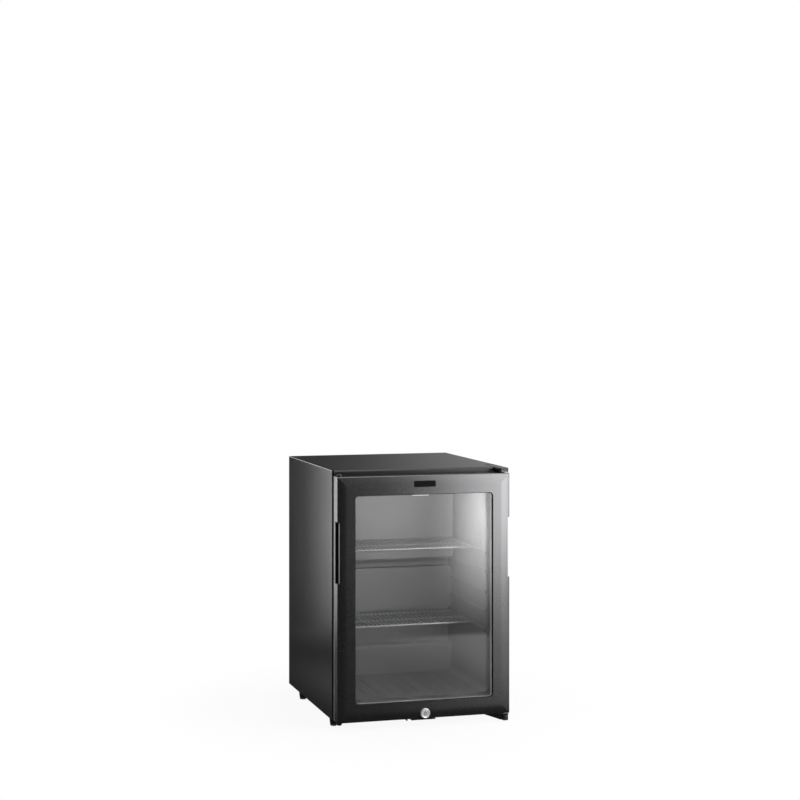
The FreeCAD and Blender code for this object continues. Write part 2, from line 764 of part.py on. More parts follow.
def drip_gutter():
    """The channel on the back wall that catches water below the fins."""
    low = FLOOR_Z + RAISED_START + RAISED_HEIGHT + GUTTER_GAP
    top = low + GUTTER_HEIGHT
    start = -(INNER_HALF - GUTTER_SIDE_GAP)
    front = INNER_BACK - GUTTER_REACH
    points = [
        V(start, INNER_BACK, low),
        V(start, INNER_BACK, top),
        V(start, INNER_BACK - GUTTER_WALL, top),
        V(start, INNER_BACK - GUTTER_WALL, low + GUTTER_WALL),
        V(start, front + GUTTER_WALL, low + GUTTER_WALL),
        V(start, front + GUTTER_WALL, top),
        V(start, front, top),
        V(start, front, low),
    ]
    return prism(points, [0] * 8, V(-2 * start, 0, 0))


def lamp_spaces():
    """The front, low and inner edges that the three lamp pieces share."""
    front = CABINET_FRONT + LAMP_SETBACK
    return front, CEILING_Z - LAMP_HEIGHT


def lamp_housing():
    """The white lamp box under the ceiling, open below for its lens."""
    front, low = lamp_spaces()
    y = (front, front + LAMP_DEPTH)
    x = span(LAMP_OFFSET, LAMP_WIDTH / 2)
    points = [V(x[0], y[0], low), V(x[1], y[0], low), V(x[1], y[1], low), V(x[0], y[1], low)]
    shell = prism(points, [LAMP_RADIUS] * 4, V(0, 0, LAMP_HEIGHT))
    room = block(grown(x, -LAMP_WALL), grown(y, -LAMP_WALL), (low - OVERRUN, CEILING_Z - LAMP_WALL))
    return shell.cut(room)


def lamp_lens():
    """The clear window pressed into the bottom of the lamp box."""
    front, low = lamp_spaces()
    x = span(LAMP_OFFSET, LAMP_WIDTH / 2 - LAMP_WALL - PRESS_GAP)
    y = grown((front, front + LAMP_DEPTH), -LAMP_WALL - PRESS_GAP)
    return block(x, y, (low, low + LENS_THICKNESS))


def lamp_board():
    """The light board, seated under the roof of the lamp box."""
    front, low = lamp_spaces()
    x = span(LAMP_OFFSET, LAMP_WIDTH / 2 - LAMP_WALL - CLEARANCE)
    y = grown((front, front + LAMP_DEPTH), -LAMP_WALL - CLEARANCE)
    top = low + BOARD_LIFT + BOARD_THICKNESS
    board = block(x, y, (low + BOARD_LIFT, top))
    post_x = span(LAMP_OFFSET, LAMP_WALL)
    post_y = span(front + LAMP_DEPTH / 2, LAMP_WALL)
    return board.fuse(block(post_x, post_y, (top, CEILING_Z - LAMP_WALL))).removeSplitter()


# Shelves

def wire_shelf(level):
    """A welded grid: three cross rails with thin wires on top of them."""
    seat = rib_top(level) + CLEARANCE
    rail_z = seat + RAIL_RADIUS
    wire_z = rail_z + RAIL_RADIUS + WIRE_RADIUS - WELD_DEPTH
    half = INNER_HALF - SHELF_SIDE_GAP
    back = wall_behind(level) - SHELF_BACK_GAP - RAIL_RADIUS
    front = back - SHELF_DEPTH + 2 * RAIL_RADIUS
    middle = front + MIDDLE_RAIL_SHARE * (back - front)
    bars = []
    for y in (front, middle, back):
        bars.append(rod(V(-half, y, rail_z), V(half, y, rail_z), RAIL_RADIUS))
    pitch = 2 * (half - WIRE_END_GAP) / (WIRE_COUNT - 1)
    for number in range(WIRE_COUNT):
        x = (number - (WIRE_COUNT - 1) / 2) * pitch
        bars.append(rod(V(x, front - RAIL_RADIUS, wire_z), V(x, back + RAIL_RADIUS, wire_z), WIRE_RADIUS))
    return bars[0].fuse(bars[1:])


# Door

def crown(inset):
    """How far the bezel's face lies behind its front plane, at a distance from its edge."""
    radius = (CROWN_WIDTH ** 2 + CROWN_DROP ** 2) / (2 * CROWN_DROP)
    return radius - math.sqrt(radius ** 2 - (CROWN_WIDTH - inset) ** 2)


def bezel_outline():
    """The section of the bezel before it is hollowed: edge radius, crown, then flat to the window."""
    front = DOOR_FRONT
    corner = BEZEL_EDGE_RADIUS
    inner = FRAME_SIDE + FRAME_TOP
    edge_start = (0, front + crown(0) + corner)
    edge_end = (corner, front + crown(corner))
    sagitta = corner * (1 - math.sqrt(1 / 2))
    edge_middle = (sagitta, front + crown(sagitta) + sagitta)
    middle = CROWN_WIDTH / 2
    return [
        ((0, BEZEL_BACK), edge_start),
        (edge_start, edge_middle, edge_end),
        (edge_end, (middle, front + crown(middle)), (CROWN_WIDTH, front)),
        ((CROWN_WIDTH, front), (inner, front)),
        ((inner, front), (inner, BEZEL_BACK)),
        ((inner, BEZEL_BACK), (0, BEZEL_BACK)),
    ]


def hinge_bosses():
    """The four round bosses inside the bezel's corners, and the bush holes through them."""
    bosses = []
    holes = []
    for x in (HINGE_X, -HINGE_X):
        for z, inward in ((DOOR_BOTTOM, 1), (DOOR_TOP, -1)):
            start = V(x, HINGE_Y, z)
            bosses.append(rod(start, start + V(0, 0, inward * BOSS_LENGTH), BOSS_RADIUS))
            outside = start - V(0, 0, inward * OVERRUN)
            inside = start + V(0, 0, inward * (BOSS_LENGTH + OVERRUN))
            holes.append(rod(outside, inside, BUSH_RADIUS + PRESS_GAP))
    return bosses, holes


def grip_opening():
    """What the right grip takes out of the bezel: the cup's seat and the notch in the face."""
    z = (GRIP_LOW, GRIP_HIGH)
    cup_x = (DOOR_HALF - GRIP_REACH, DOOR_HALF + OVERRUN)
    seat = block(cup_x, (HOLLOW_FRONT, DOOR_FRONT + GRIP_BACK + GRIP_WALL), grown(z, GRIP_WALL))
    notch_x = (DOOR_HALF - GRIP_NOTCH, DOOR_HALF + GRIP_NOTCH)
    notch = upright_plate(notch_x, z, (DOOR_FRONT - OVERRUN, HOLLOW_FRONT + OVERRUN), GRIP_NOTCH_RADIUS)
    return seat.fuse(notch)


def cam_slot(level, thickness):
    """The slot that the turning cam needs through a level wall of the given thickness."""
    margin = CAM_SLOT_MARGIN
    swept = math.sqrt(CAM_REACH ** 2 - (LOCK_Z - level) ** 2) + CAM_WIDTH / 2
    x = (-swept - margin, CAM_WIDTH / 2 + margin)
    y = grown((CAM_Y, CAM_Y + CAM_THICKNESS), margin)
    return block(x, y, span(level, thickness + OVERRUN))


def plate_seat(extra):
    """The x and z stretches of the bare plate above the window, larger by an extra."""
    x = grown(span(0, PLATE_WIDTH / 2), extra)
    low = WINDOW_HIGH + PLATE_RISE
    return x, grown((low, low + PLATE_HEIGHT), extra)


def door_bezel():
    """The door's moulded front: a mitred, crowned frame, hollow behind, round the window."""
    reach = (DOOR_FRONT - OVERRUN, BEZEL_BACK + OVERRUN)
    bezel = mitred_frame(bezel_outline(), reach, DOOR_HALF, DOOR_BOTTOM, DOOR_TOP)
    window_x = span(0, WINDOW_HALF)
    window_z = (WINDOW_LOW, WINDOW_HIGH)
    bezel = bezel.cut(upright_plate(window_x, window_z, reach, WINDOW_RADIUS))
    hollow_z = grown((DOOR_BOTTOM, DOOR_TOP), -BEZEL_WALL)
    bezel = bezel.cut(block(span(0, DOOR_HALF - BEZEL_WALL), (HOLLOW_FRONT, reach[1]), hollow_z))
    pocket = GLASS_COVER + REBATE_GAP
    pocket_y = (DOOR_FRONT + LIP_THICKNESS, HOLLOW_FRONT + CLEARANCE)
    bezel = bezel.cut(block(grown(window_x, pocket), pocket_y, grown(window_z, pocket)))
    bosses, holes = hinge_bosses()
    lock_seat = rod(V(0, DOOR_FRONT, LOCK_Z), V(0, HOLLOW_FRONT, LOCK_Z), LOCK_FACE_RADIUS)
    bezel = bezel.fuse(bosses + [lock_seat])
    grip = grip_opening()
    lock = rod(V(0, reach[0], LOCK_Z), V(0, BEZEL_BACK, LOCK_Z), LOCK_BODY_RADIUS + PRESS_GAP)
    plate_x, plate_z = plate_seat(PRESS_GAP)
    plate = upright_plate(plate_x, plate_z, (reach[0], DOOR_FRONT + PLATE_RECESS), PLATE_RADIUS)
    for cutter in holes + [grip, mirrored(grip), lock, cam_slot(DOOR_BOTTOM, BEZEL_WALL), plate]:
        bezel = bezel.cut(cutter)
    return bezel.removeSplitter()


def glass_pane(front):
    """One pane of the double glazing."""
    x = span(0, WINDOW_HALF + GLASS_COVER)
    z = grown((WINDOW_LOW, WINDOW_HIGH), GLASS_COVER)
    return upright_plate(x, z, (front, front + GLASS_THICKNESS), GLASS_CORNER_RADIUS)


def glass_spacer():
    """The aluminium bar that keeps the two panes apart."""
    x = span(0, WINDOW_HALF + SPACER_INSET)
    z = grown((WINDOW_LOW, WINDOW_HIGH), SPACER_INSET)
    y = (OUTER_GLASS_Y + GLASS_THICKNESS, INNER_GLASS_Y)
    bar = upright_plate(grown(x, SPACER_WIDTH), grown(z, SPACER_WIDTH), y, SPACER_CORNER_RADIUS)
    return bar.cut(upright_plate(x, z, grown(y, OVERRUN), SPACER_CORNER_RADIUS))


def glazing_seal():
    """The soft black strip between the bezel's lip and the outer pane."""
    x = span(0, WINDOW_HALF)
    z = (WINDOW_LOW, WINDOW_HIGH)
    y = (DOOR_FRONT + LIP_THICKNESS, OUTER_GLASS_Y)
    strip = upright_plate(grown(x, GLASS_COVER), grown(z, GLASS_COVER), y, GLASS_CORNER_RADIUS)
    corner = WINDOW_RADIUS - SEAL_SHOW
    hole = upright_plate(grown(x, -SEAL_SHOW), grown(z, -SEAL_SHOW), grown(y, OVERRUN), corner)
    return strip.cut(hole)


def door_inner_frame():
    """The rear frame: it closes the bezel, clamps the panes and has the gasket's groove."""
    x = span(0, DOOR_HALF - INNER_INSET)
    z = grown((DOOR_BOTTOM, DOOR_TOP), -INNER_INSET)
    window_x = span(0, WINDOW_HALF)
    window_z = (WINDOW_LOW, WINDOW_HIGH)
    plate = block(x, (BEZEL_BACK, DOOR_BACK), z)
    pane = GLASS_COVER + REBATE_GAP
    wall_y = (HOLLOW_FRONT + CLEARANCE, BEZEL_BACK)
    wall = block(grown(window_x, pane + REBATE_WALL), wall_y, grown(window_z, pane + REBATE_WALL))
    wall = wall.cut(block(grown(window_x, pane), grown(wall_y, OVERRUN), grown(window_z, pane)))
    frame = plate.fuse(wall).removeSplitter()
    hole_y = (BEZEL_BACK - OVERRUN, DOOR_BACK + OVERRUN)
    reveal_x = grown(window_x, INNER_REVEAL)
    frame = frame.cut(upright_plate(reveal_x, grown(window_z, INNER_REVEAL), hole_y, INNER_RADIUS))
    return frame.cut(gasket_ring(gasket_dart(PRESS_GAP)))


def gasket_ring(points):
    """A mitred ring of the gasket's size with the given section of (inset, y) points."""
    half = DOOR_HALF - GASKET_INSET
    low = DOOR_BOTTOM + GASKET_INSET
    high = DOOR_TOP - GASKET_INSET
    reach = (DOOR_FRONT, CABINET_FRONT + OVERRUN)
    return mitred_frame(polygon_outline(points), reach, half, low, high)


def gasket_dart(gap):
    """The section of the barb that is pushed into the inner frame, larger by a gap."""
    u = grown((GASKET_DART_START, GASKET_DART_START + GASKET_DART_WIDTH), gap)
    tip = DOOR_BACK - GASKET_DART_DEPTH - gap
    return [(u[0], DOOR_BACK), (u[0], tip), (u[1], tip), (u[1], DOOR_BACK)]


def door_gasket():
    """The soft gasket: base and barb on the door, a folding web, and a head with a magnet slot."""
    face = CABINET_FRONT - CLEARANCE
    base = DOOR_BACK + GASKET_BASE
    head = face - GASKET_HEAD
    slot = span(head + GASKET_HEAD / 2, MAGNET_THICKNESS / 2 + PRESS_GAP)
    slot_end = GASKET_WIDTH - MAGNET_WIDTH - PRESS_GAP
    dart = gasket_dart(0)
    points = [
        (0, DOOR_BACK),
        dart[0],
        dart[1],
        dart[2],
        dart[3],
        (GASKET_WIDTH, DOOR_BACK),
        (GASKET_WIDTH, base),
        (GASKET_WEB, base),
        (GASKET_WEB, head),
        (GASKET_WIDTH, head),
        (GASKET_WIDTH, slot[0]),
        (slot_end, slot[0]),
        (slot_end, slot[1]),
        (GASKET_WIDTH, slot[1]),
        (GASKET_WIDTH, face),
        (0, face),
    ]
    return gasket_ring(points)


def gasket_magnet():
    """The magnet strip that lies in the gasket's head."""
    middle = CABINET_FRONT - CLEARANCE - GASKET_HEAD / 2
    y = span(middle, MAGNET_THICKNESS / 2)
    u = (GASKET_WIDTH - MAGNET_WIDTH, GASKET_WIDTH)
    return gasket_ring([(u[0], y[0]), (u[1], y[0]), (u[1], y[1]), (u[0], y[1])])


def grip_cup():
    """The moulded cup behind the right grip's notch, open towards the door's edge."""
    z = (GRIP_LOW, GRIP_HIGH)
    back = DOOR_FRONT + GRIP_BACK
    floor = DOOR_HALF - GRIP_REACH
    outer_z = grown(z, GRIP_WALL - PRESS_GAP)
    outer = block((floor, DOOR_HALF), (HOLLOW_FRONT, back + GRIP_WALL - PRESS_GAP), outer_z)
    corners = [
        V(floor + GRIP_WALL, HOLLOW_FRONT + GRIP_WALL, z[0]),
        V(DOOR_HALF + OVERRUN, HOLLOW_FRONT + GRIP_WALL, z[0]),
        V(DOOR_HALF + OVERRUN, back, z[0]),
        V(floor + GRIP_WALL, back, z[0]),
    ]
    space = prism(corners, [GRIP_NOTCH_RADIUS, 0, 0, GRIP_NOTCH_RADIUS], V(0, 0, GRIP_LENGTH))
    notch_x = (DOOR_HALF - GRIP_NOTCH, DOOR_HALF + OVERRUN)
    notch = block(notch_x, (HOLLOW_FRONT - OVERRUN, back), z)
    return outer.cut(space).cut(notch)


def badge_plate():
    """The small plate above the window, left bare."""
    x, z = plate_seat(0)
    back = DOOR_FRONT + PLATE_RECESS
    return upright_plate(x, z, (back - PLATE_THICKNESS, back), PLATE_RADIUS)


# Hinges

def hinge_bush(face, seat):
    """A flanged bush in the bezel's boss, with a running bore; its flange bears on the hinge."""
    start = V(HINGE_X, HINGE_Y, face)
    flange = abs(face - seat) - CLEARANCE
    axis = V(0, 0, 1) if face > seat else V(0, 0, -1)
    bore = PIN_RADIUS + RUNNING_GAP
    profile = [
        (bore, -flange),
        (BUSH_FLANGE_RADIUS, -flange),
        (BUSH_FLANGE_RADIUS, 0),
        (BUSH_RADIUS, 0),
        (BUSH_RADIUS, BUSH_LENGTH),
        (bore, BUSH_LENGTH),
    ]
    return turned(profile, [0] * 6, start, axis)


def blanking_plug(face, inward):
    """The domed plug in a bush hole that this hinge side doesn't use."""
    start = V(-HINGE_X, HINGE_Y, face)
    profile = [
        (0, -PLUG_DOME),
        (PLUG_RADIUS, -PLUG_DOME),
        (PLUG_RADIUS, 0),
        (BUSH_RADIUS, 0),
        (BUSH_RADIUS, PLUG_STEM),
        (0, PLUG_STEM),
    ]
    return turned(profile, [0, PLUG_DOME / 2, 0, 0, 0, 0], start, V(0, 0, inward))


def arm_outline(margin):
    """The plan of the upper hinge arm: narrow in its pocket, wider over the door."""
    left = LID_HALF - POCKET_WIDTH + ARM_SIDE_MARGIN - margin
    right = LID_HALF - ARM_SIDE_MARGIN + margin
    wide = DOOR_HALF - CLEARANCE
    nose = CABINET_FRONT - NOSE_REACH
    rear = nose + POCKET_LENGTH - ARM_REAR_MARGIN + margin
    front = HINGE_Y - ARM_FRONT - margin
    shoulder = nose - NOSE_REACH
    points = [
        V(left, front, 0),
        V(wide, front, 0),
        V(wide, shoulder, 0),
        V(right, nose, 0),
        V(right, rear, 0),
        V(left, rear, 0),
    ]
    return points, [ARM_FRONT_RADIUS, ARM_FRONT_RADIUS, 0, 0, 0, 0]


def arm_screw_points():
    """The two screws of the upper hinge arm, at the pocket's floor."""
    x = LID_HALF - POCKET_WIDTH / 2
    front = CABINET_FRONT + SCREW_EDGE
    rear = CABINET_FRONT - NOSE_REACH + POCKET_LENGTH - ARM_REAR_MARGIN - SCREW_EDGE
    return [V(x, front, POCKET_Z), V(x, rear, POCKET_Z)]


def upper_hinge_arm():
    """The flat steel arm that carries the upper hinge pin over the door."""
    points, radii = arm_outline(0)
    arm = prism([p + V(0, 0, POCKET_Z) for p in points], radii, V(0, 0, ARM_THICKNESS))
    arm = arm.cut(upright_hole(V(HINGE_X, HINGE_Y, POCKET_Z), PIN_RADIUS))
    for point in arm_screw_points():
        arm = arm.cut(upright_hole(point, SCREW_RADIUS))
    return arm


def upper_hinge_pin():
    """The headed pin through the arm into the door's upper bush."""
    top = POCKET_Z + ARM_THICKNESS
    profile = [
        (0, PIN_HEAD),
        (PIN_HEAD_RADIUS, PIN_HEAD),
        (PIN_HEAD_RADIUS, 0),
        (PIN_RADIUS, 0),
        (PIN_RADIUS, DOOR_TOP - PIN_DEPTH - top),
        (0, DOOR_TOP - PIN_DEPTH - top),
    ]
    return turned(profile, [0] * 6, V(HINGE_X, HINGE_Y, top), V(0, 0, 1))


def hinge_cap():
    """The moulded cap over the upper hinge, hollow round the arm's screws and the pin's head."""
    points, radii = arm_outline(ARM_SIDE_MARGIN - CLEARANCE)
    low = POCKET_Z + ARM_THICKNESS + CLEARANCE
    cap = prism([p + V(0, 0, low) for p in points], radii, V(0, 0, TOP_Z - low))
    rim = [edge for edge in cap.Edges if edge.BoundBox.ZMin > TOP_Z - JOIN_TOLERANCE]
    cap = cap.makeFillet(CAP_EDGE_RADIUS, rim)
    for point in arm_screw_points():
        start = V(point.x, point.y, low - OVERRUN)
        end = V(point.x, point.y, POCKET_Z + ARM_THICKNESS + SCREW_HEAD + CLEARANCE)
        cap = cap.cut(rod(start, end, SCREW_HEAD_RADIUS + CLEARANCE))
    head = V(HINGE_X, HINGE_Y, low - OVERRUN)
    head_top = V(HINGE_X, HINGE_Y, POCKET_Z + ARM_THICKNESS + PIN_HEAD + CLEARANCE)
    return cap.cut(rod(head, head_top, PIN_HEAD_RADIUS + CLEARANCE))


def blank_cap():
    """The cap that fills the unused hinge pocket on the left."""
    nose = CABINET_FRONT - NOSE_REACH
    x = (-LID_HALF + CLEARANCE, -LID_HALF + POCKET_WIDTH - CLEARANCE)
    y = (nose, nose + POCKET_LENGTH - CLEARANCE)
    section = [V(x[0], y[0], POCKET_Z), V(x[0], y[1], POCKET_Z), V(x[0], y[1], TOP_Z), V(x[0], y[0], TOP_Z)]
    return prism(section, [0, 0, 0, NOSE_RADIUS], V(x[1] - x[0], 0, 0))


def bracket_corners():
    """The plan of the lower hinge bracket, from its base to the tip round the pin."""
    right = HALF - FOOT_INSET - FOOT_TOP_RADIUS - BRACKET_FOOT_GAP
    left = right - BRACKET_BASE_WIDTH
    start = CABINET_FRONT + BRACKET_BASE_START
    end = start + BRACKET_BASE_LENGTH
    return left, right, start, end


def lower_hinge_bracket():
    """The tapered steel bracket under the cabinet, with a folded gusset that deepens towards the pin."""
    left, right, start, end = bracket_corners()
    top = BASE_Z
    tip = BRACKET_TIP_RADIUS
    corner = BRACKET_CORNER_RADIUS
    front = HINGE_Y - tip
    points = [
        V(left, end, top),
        V(left, start, top),
        V(HINGE_X - tip, front, top),
        V(HINGE_X + tip, front, top),
        V(HINGE_X + tip, HINGE_Y + tip, top),
        V(right, start, top),
        V(right, end, top),
    ]
    down = V(0, 0, -BRACKET_THICKNESS)
    plate = prism(points, [corner, corner, corner, corner, corner, 0, corner], down)
    run = points[2] - points[1]
    along = V(run.x, run.y, 0).normalize()
    across = V(-along.y, along.x, 0)
    finish = points[2] - along * (corner / 2) + down
    begin = finish - along * BRACKET_FLANGE_LENGTH
    wide = across * BRACKET_THICKNESS
    deep = V(0, 0, -BRACKET_FLANGE)
    fold = prism([begin, finish, finish + deep], [0, 0, BRACKET_THICKNESS], wide)
    bracket = plate.fuse(fold).removeSplitter()
    bracket = bracket.cut(upright_hole(V(HINGE_X, HINGE_Y, top), PIN_RADIUS))
    for point in bracket_screw_points():
        bracket = bracket.cut(upright_hole(point, SCREW_RADIUS))
    return bracket


def bracket_screw_points():
    """The two screws of the lower hinge bracket, at the floor pan's underside."""
    left, right, start, end = bracket_corners()
    y = end - SCREW_EDGE
    return [V(left + SCREW_EDGE, y, BASE_Z), V(right - SCREW_EDGE, y, BASE_Z)]


def lower_hinge_pin():
    """The plain pin that stands in the bracket, with its lower end in the hinge's foot."""
    low = V(HINGE_X, HINGE_Y, HINGE_FOOT_LIFT + HINGE_FOOT_FLOOR)
    return rod(low, V(HINGE_X, HINGE_Y, DOOR_BOTTOM + PIN_DEPTH), PIN_RADIUS)


def hinge_foot():
    """The round-shouldered foot under the bracket's tip, turned, just clear of the floor."""
    top = BASE_Z - BRACKET_THICKNESS - HINGE_FOOT_LIFT
    bore = PIN_RADIUS + PRESS_GAP
    profile = [
        (0, 0),
        (HINGE_FOOT_RADIUS, 0),
        (HINGE_FOOT_RADIUS, top),
        (bore, top),
        (bore, HINGE_FOOT_FLOOR),
        (0, HINGE_FOOT_FLOOR),
    ]
    radii = [0, FOOT_EDGE_RADIUS, HINGE_FOOT_SHOULDER, 0, 0, 0]
    return turned(profile, radii, V(HINGE_X, HINGE_Y, HINGE_FOOT_LIFT), V(0, 0, 1))


# Lock

def keeper_places():
    """The front and rear ends of the keeper plate."""
    front = CABINET_FRONT - KEEPER_REACH
    return front, front + KEEPER_LENGTH


def lock_keeper():
    """The folded keeper plate under the cabinet, with the slot that the cam turns into."""
    front, rear = keeper_places()
    top = BASE_Z
    low = top - KEEPER_THICKNESS
    wall = KEEPER_THICKNESS
    x = span(0, KEEPER_HALF)
    floor = low - KEEPER_FLANGE
    section = [
        V(x[0], CABINET_FRONT, top),
        V(x[1], CABINET_FRONT, top),
        V(x[1], CABINET_FRONT, floor),
        V(x[1] - wall, CABINET_FRONT, floor),
        V(x[1] - wall, CABINET_FRONT, low),
        V(x[0] + wall, CABINET_FRONT, low),
        V(x[0] + wall, CABINET_FRONT, floor),
        V(x[0], CABINET_FRONT, floor),
    ]
    channel = prism(section, [0] * 8, V(0, rear - CABINET_FRONT, 0))
    tongue = block(x, (front, CABINET_FRONT), (low, top))
    keeper = channel.fuse(tongue).removeSplitter()
    keeper = keeper.cut(cam_slot(BASE_Z, KEEPER_THICKNESS))
    for point in keeper_screw_points():
        keeper = keeper.cut(upright_hole(point, SCREW_RADIUS))
    return keeper


def keeper_screw_points():
    """The two screws of the keeper, at the floor pan's underside."""
    front, rear = keeper_places()
    y = rear - SCREW_EDGE
    x = KEEPER_HALF - SCREW_EDGE
    return [V(-x, y, BASE_Z), V(x, y, BASE_Z)]


def lock_barrel():
    """The lock's fixed body with its dished face, turned about the lock's axis."""
    bore = CORE_RADIUS + RUNNING_GAP
    face = DOOR_FRONT - LOCK_PROUD
    dish = LOCK_PROUD - LOCK_DISH_DEPTH
    profile = [
        (bore, dish),
        (LOCK_DISH_RADIUS, dish),
        (LOCK_DISH_RADIUS + LOCK_RIM, LOCK_PROUD),
        (LOCK_FACE_RADIUS, LOCK_PROUD),
        (LOCK_FACE_RADIUS, 0),
        (LOCK_BODY_RADIUS, 0),
        (LOCK_BODY_RADIUS, -LOCK_BODY_DEPTH),
        (bore, -LOCK_BODY_DEPTH),
    ]
    base = V(0, face + LOCK_PROUD, LOCK_Z)
    return turned(profile, [0, 0, 0, LOCK_RIM, 0, 0, 0, 0], base, V(0, -1, 0))


def hexagon(radius, y):
    """The six corners of a nut round the lock's axis."""
    corners = []
    for side in range(NUT_SIDES):
        turn = 2 * math.pi * side / NUT_SIDES
        corners.append(V(radius * math.sin(turn), y, LOCK_Z + radius * math.cos(turn)))
    return corners


def lock_nut():
    """The hexagon nut that clamps the lock behind the bezel's skin."""
    nut = prism(hexagon(LOCK_NUT_RADIUS, HOLLOW_FRONT), [0] * NUT_SIDES, V(0, LOCK_NUT, 0))
    start = V(0, HOLLOW_FRONT - OVERRUN, LOCK_Z)
    return nut.cut(rod(start, start + V(0, 2 * OVERRUN + LOCK_NUT, 0), LOCK_BODY_RADIUS + PRESS_GAP))


def core_tail(gap):
    """The squared tail of the lock's core that the cam sits on."""
    half = CORE_TAIL_HALF + gap
    y = (DOOR_FRONT + LOCK_BODY_DEPTH - gap, CAM_Y + CAM_THICKNESS + gap)
    return block(span(0, half), y, span(LOCK_Z, half))


def lock_core():
    """The turning core with its ring-shaped keyway and squared tail."""
    front = DOOR_FRONT - LOCK_PROUD + LOCK_DISH_DEPTH - CORE_PROUD
    end = DOOR_FRONT + LOCK_BODY_DEPTH
    core = rod(V(0, front, LOCK_Z), V(0, end, LOCK_Z), CORE_RADIUS)
    ring_start = V(0, front - OVERRUN, LOCK_Z)
    ring_end = V(0, front + KEY_DEPTH, LOCK_Z)
    ring = rod(ring_start, ring_end, KEY_RING_RADIUS).cut(rod(ring_start, ring_end, KEY_RING_INNER))
    notch_y = (front - OVERRUN, front + KEY_DEPTH)
    notch = block(span(0, KEY_NOTCH / 2), notch_y, (LOCK_Z, LOCK_Z + CORE_RADIUS + OVERRUN))
    notch = notch.cut(rod(ring_start, ring_end, KEY_RING_INNER))
    tail_y = (end, CAM_Y + CAM_THICKNESS)
    tail = block(span(0, CORE_TAIL_HALF), tail_y, span(LOCK_Z, CORE_TAIL_HALF))
    return core.cut(ring).cut(notch).fuse(tail).removeSplitter()


def lock_cam():
    """The flat cam on the core's tail: it points to the left when the lock is open."""
    half = CAM_WIDTH / 2
    arm = [
        V(0, CAM_Y, LOCK_Z - half),
        V(0, CAM_Y, LOCK_Z + half),
        V(-CAM_REACH, CAM_Y, LOCK_Z + half),
        V(-CAM_REACH, CAM_Y, LOCK_Z - half),
    ]
    rounding = half / 2
    cam = prism(arm, [0, 0, rounding, rounding], V(0, CAM_THICKNESS, 0))
    hub = rod(V(0, CAM_Y, LOCK_Z), V(0, CAM_Y + CAM_THICKNESS, LOCK_Z), CAM_HUB_RADIUS)
    return cam.fuse(hub).removeSplitter().cut(core_tail(PRESS_GAP))


def cam_screw():
    """The screw head that holds the cam on the core."""
    start = V(0, CAM_Y + CAM_THICKNESS, LOCK_Z)
    return rod(start, start + V(0, CAM_SCREW, 0), CAM_SCREW_RADIUS)


# Screws

def pan_screw(point, out, through):
    """A screw whose head lies on a plate; the shank goes through it and the sheet behind."""
    profile = [
        (0, 0),
        (SCREW_RADIUS, 0),
        (SCREW_RADIUS, through),
        (SCREW_HEAD_RADIUS, through),
        (SCREW_HEAD_RADIUS, through + SCREW_HEAD),
        (0, through + SCREW_HEAD),
    ]
    return turned(profile, [0, 0, 0, 0, SCREW_HEAD / 2, 0], point - out * SHEET, out)


def mounting_screws():
    """The pan-head screws of the hinges, the keeper and the cooling unit's plates, as one group."""
    groups = (
        (arm_screw_points(), V(0, 0, 1), ARM_THICKNESS),
        (bracket_screw_points(), V(0, 0, -1), BRACKET_THICKNESS),
        (keeper_screw_points(), V(0, 0, -1), KEEPER_THICKNESS),
        (strap_screw_points(), V(0, 1, 0), STRAP_THICKNESS),
    )
    group = [pan_screw(point, out, SHEET + plate) for points, out, plate in groups for point in points]
    return Part.makeCompound(group)


# Cooling unit

def turned_shell(base, axis, size, wall, hole):
    """A thin can with rounded ends and a hole in the middle of each, turned from its section."""
    radius, length, rounding = size
    outer = [(hole, 0), (radius, 0), (radius, length), (hole, length)]
    inner_radius = radius - wall
    inner = [(hole, length - wall), (inner_radius, length - wall), (inner_radius, wall), (hole, wall)]
    inside = rounding - wall
    radii = [0, rounding, rounding, 0, 0, inside, inside, 0]
    return turned(outer + inner, radii, base, axis)


def boiler_casing():
    """The sheet can round the boiler, with the tube coming through both ends."""
    base = V(BOILER_X, UNIT_Y, BASE_Z + BOILER_START)
    hole = TUBE_RADIUS + PRESS_GAP
    size = (BOILER_RADIUS, BOILER_HEIGHT, BOILER_EDGE_RADIUS)
    return turned_shell(base, V(0, 0, 1), size, CASING_WALL, hole)


def condenser_tube():
    """The tube up through the boiler's can, along the vanes and forward to the cold plate."""
    points = [
        V(BOILER_X, UNIT_Y, BASE_Z + BOILER_START),
        V(BOILER_X, UNIT_Y, CONDENSER_Z),
        V(CONDENSER_END, UNIT_Y, CONDENSER_Z),
        V(CONDENSER_END, INNER_BACK, CONDENSER_Z),
    ]
    return tube(points, [0, TUBE_BEND, TUBE_BEND, 0], TUBE_RADIUS)


def condenser_vanes():
    """The row of square cooling vanes on the condenser's tube."""
    vanes = []
    for number in range(VANE_COUNT):
        x = VANE_START + number * VANE_PITCH
        y = span(UNIT_Y, VANE_HALF)
        z = span(CONDENSER_Z, VANE_HALF)
        points = [V(x, y[0], z[0]), V(x, y[1], z[0]), V(x, y[1], z[1]), V(x, y[0], z[1])]
        vane = prism(points, [VANE_RADIUS] * 4, V(VANE_THICKNESS, 0, 0))
        start = V(x - OVERRUN, UNIT_Y, CONDENSER_Z)
        vanes.append(vane.cut(rod(start, start + V(2 * OVERRUN, 0, 0), TUBE_RADIUS + PRESS_GAP)))
    return Part.makeCompound(vanes)


